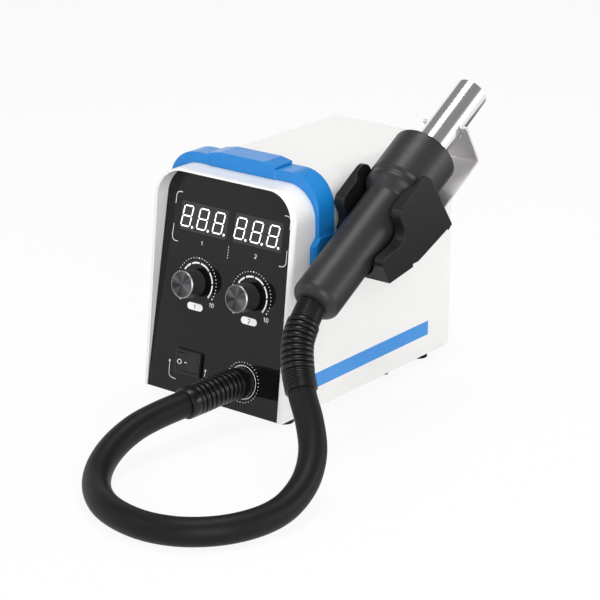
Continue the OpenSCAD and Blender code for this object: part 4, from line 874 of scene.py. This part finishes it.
def character(cx, cy):
    """All seven bars and the point of one character."""
    shapes = [bar_outline(sx * CHAR_W / 2, sy * CHAR_H / 4, CHAR_H / 2 - 0.8 * BAR, BAR, True)
              for sx in (-1, 1) for sy in (-1, 1)]
    shapes += [bar_outline(0, k * CHAR_H / 2, CHAR_W - 0.8 * BAR, BAR, False) for k in (-1, 0, 1)]
    shapes.append(disc(CHAR_W / 2 + POINT_OUT, -CHAR_H / 2, POINT_RADIUS, 14))
    return [leaning(shape, cx, cy) for shape in shapes]


segments = []
for s in (-1, 1):
    middle_u = s * (DISPLAY_W + DISPLAY_GAP) / 2 + CHAR_SHIFT
    for i in (-1, 0, 1):
        segments += character(middle_u + i * CHAR_PITCH, DISPLAY_V)
flat_sheet("lit_segments", segments, on_panel, -0.12 * MM, lit_segment, "station")
print(len(segments), "lit shapes")

# %% [markdown]
# The switch's marks, a ring and a bar, both lie on the raised half of the rocker.
# Its face has two halves that slope to a low middle, 1.1 mm down over 10 mm.

# %% Switch marks
ROCKER_PIVOT = Vector((-20.6, 21.4, -0.6)) * MM
ROCKER_TILT = math.radians(7)
ROCKER_HEIGHT = 2.3 * MM
FACE_SLOPE = math.atan2(1.1, 10)
MARK_LINE = 0.42
on_rocker = (on_panel @ Matrix.Translation(ROCKER_PIVOT)
             @ Matrix.Rotation(ROCKER_TILT, 4, "Y")
             @ Matrix.Translation((0, 0, ROCKER_HEIGHT))
             @ Matrix.Rotation(FACE_SLOPE, 4, "Y"))
marks = (ribbon(arc(-5.9, 0, 1.35, 0, 360, 32), MARK_LINE)
         + ribbon([(-2.5, 0), (-0.6, 0)], MARK_LINE))
flat_sheet("rocker_marks", marks, on_rocker, 0.04 * MM, white_ink, "rocker")
print("rocker carries", len(marks), "strokes of its marks")

# %% [markdown]
# A blue stripe is printed along the right wall, low down. It is plain here.

# %% Wall stripe
STRIPE_FROM, STRIPE_TO, STRIPE_LOW, STRIPE_HIGH = 31, 155, 13.4, 23
on_wall = axes_matrix(Vector((cover_high[0], panel_foot.y, panel_foot.z)),
                      Vector((0, 1, 0)), Vector((0, 0, 1)), Vector((1, 0, 0)))
flat_sheet("wall_stripe", [[
    (STRIPE_FROM, STRIPE_LOW), (STRIPE_TO, STRIPE_LOW),
    (STRIPE_TO, STRIPE_HIGH), (STRIPE_FROM, STRIPE_HIGH)]],
    on_wall, 0.03 * MM, blue_ink, "station")
print("stripe is", STRIPE_TO - STRIPE_FROM, "mm long")

# %% [markdown]
# The floor is a plain white sweep. Light Path shows the camera a clean white, while
# the floor still takes the soft shadow. In reflections it is white as well, but for
# a round patch of painted shade under the handpiece that only reflections see: it
# draws the thin dark line along the barrel's lower edge, where a photographer would
# lay a black card. Round the horizon stand white walls and above them the room is
# grey, so that the long lamp overhead draws its streak in everything polished.

# %% Floor and light
floor_mesh = bpy.data.meshes.new("studio_floor")
made = bmesh.new()
FLOOR_HALF = 3.0
made.faces.new([made.verts.new((x * FLOOR_HALF, y * FLOOR_HALF, 0)) for x, y in (
    (-1, -1), (1, -1), (1, 1), (-1, 1))])
made.to_mesh(floor_mesh)
made.free()
floor = bpy.data.objects.new("studio_floor", floor_mesh)
bpy.context.scene.collection.objects.link(floor)

# A round patch of painted shade on the floor, seen only in reflections
PAINTED_SHADE_CENTRE, PAINTED_SHADE_RADIUS, WHITE_RADIUS = (0.15, 0.25, 0), 0.225, 0.3
PAINTED_SHADE_LEVEL, WHITE_LEVEL = 0.15, 0.95
# How much of the floor the camera sees as plain light; the rest takes the shadow
CAMERA_SHARE = 0.9
floor_paint, tree, shader = new_material("studio_paper_white", {
    "Base Color": linear("#f2f2f2"), "Roughness": 0.9, "Specular IOR Level": 0.1})
path = add_node(tree, "ShaderNodeLightPath")
place = add_node(tree, "ShaderNodeNewGeometry")
away = add_node(tree, "ShaderNodeVectorMath", {"operation": "DISTANCE"}, {1: PAINTED_SHADE_CENTRE},
                {0: place.outputs["Position"]})
painted_shade_in_reflections = add_node(tree, "ShaderNodeMapRange", values={
    "From Min": PAINTED_SHADE_RADIUS, "From Max": WHITE_RADIUS,
    "To Min": PAINTED_SHADE_LEVEL, "To Max": WHITE_LEVEL},
    links={"Value": away.outputs["Value"]})
level = add_node(tree, "ShaderNodeMath", {"operation": "MAXIMUM"},
                 links={0: path.outputs["Is Camera Ray"], 1: painted_shade_in_reflections.outputs["Result"]})
glow = add_node(tree, "ShaderNodeEmission", values={"Color": (1, 1, 1, 1)},
                links={"Strength": level.outputs[0]})
direct = add_node(tree, "ShaderNodeMath", {"operation": "MULTIPLY"}, {1: CAMERA_SHARE},
                  {0: path.outputs["Is Camera Ray"]})
share = add_node(tree, "ShaderNodeMath", {"operation": "MAXIMUM"},
                 links={0: direct.outputs[0], 1: path.outputs["Is Glossy Ray"]})
mix = add_node(tree, "ShaderNodeMixShader", links={
    "Fac": share.outputs[0], 1: shader.outputs["BSDF"], 2: glow.outputs["Emission"]})
tree.links.new(mix.outputs["Shader"], tree.nodes["Material Output"].inputs["Surface"])
floor_mesh.materials.append(floor_paint)

world = bpy.data.worlds.new("studio_world")
bpy.context.scene.world = world
world.use_nodes = True
tree = world.node_tree
background = tree.nodes["Background"]
background.inputs["Color"].default_value = (1, 1, 1, 1)
# The walls end and the grey room begins at these heights, as sines of the elevation
WALL_TOP, ROOM_FROM, ROOM_GREY = 0.32, 0.46, 0.26
direction = add_node(tree, "ShaderNodeTexCoord")
height = add_node(tree, "ShaderNodeSeparateXYZ", links={"Vector": direction.outputs["Generated"]})
sky = add_node(tree, "ShaderNodeMapRange", values={
    "From Min": WALL_TOP, "From Max": ROOM_FROM, "To Min": 1.0, "To Max": ROOM_GREY},
    links={"Value": height.outputs["Z"]})
tree.links.new(sky.outputs["Result"], background.inputs["Strength"])
bright = add_node(tree, "ShaderNodeBackground", values={"Color": (1, 1, 1, 1), "Strength": 1.0})
path = add_node(tree, "ShaderNodeLightPath")
mix = add_node(tree, "ShaderNodeMixShader", links={
    "Fac": path.outputs["Is Camera Ray"], 1: background.outputs["Background"],
    2: bright.outputs["Background"]})
tree.links.new(mix.outputs["Shader"], tree.nodes["World Output"].inputs["Surface"])


def soft_box(name, place, aim, width, height, power):
    """A rectangular studio lamp that faces a point, or straight down without one."""
    lamp_data = bpy.data.lights.new(name, "AREA")
    lamp_data.shape = "RECTANGLE"
    lamp_data.size, lamp_data.size_y = width, height
    lamp_data.energy = power
    lamp = bpy.data.objects.new(name, lamp_data)
    bpy.context.scene.collection.objects.link(lamp)
    lamp.location = place
    if aim:
        lamp.rotation_euler = (Vector(aim) - Vector(place)).to_track_quat("-Z", "Y").to_euler()


# The long lamp overhead makes the streaks, the key lights the panel's side, the side
# box lights the right wall and the rim box draws the grip's right-hand edge
middle = (0.03, 0.0, 0.08)
soft_box("top_box", (-0.01, 0.05, 1.3), None, 0.42, 0.9, 8.0)
soft_box("key_box", (-0.5, -1.1, 0.9), middle, 0.5, 0.5, 3)
soft_box("side_box", (0.95, -0.85, 0.5), middle, 0.6, 0.8, 8)
soft_box("rim_box", (1.05, 0.62, 0.34), middle, 0.5, 0.3, 2.4)
bpy.context.scene.view_settings.view_transform = "Standard"
print("floor, room and", len(bpy.data.lights), "lamps are set")
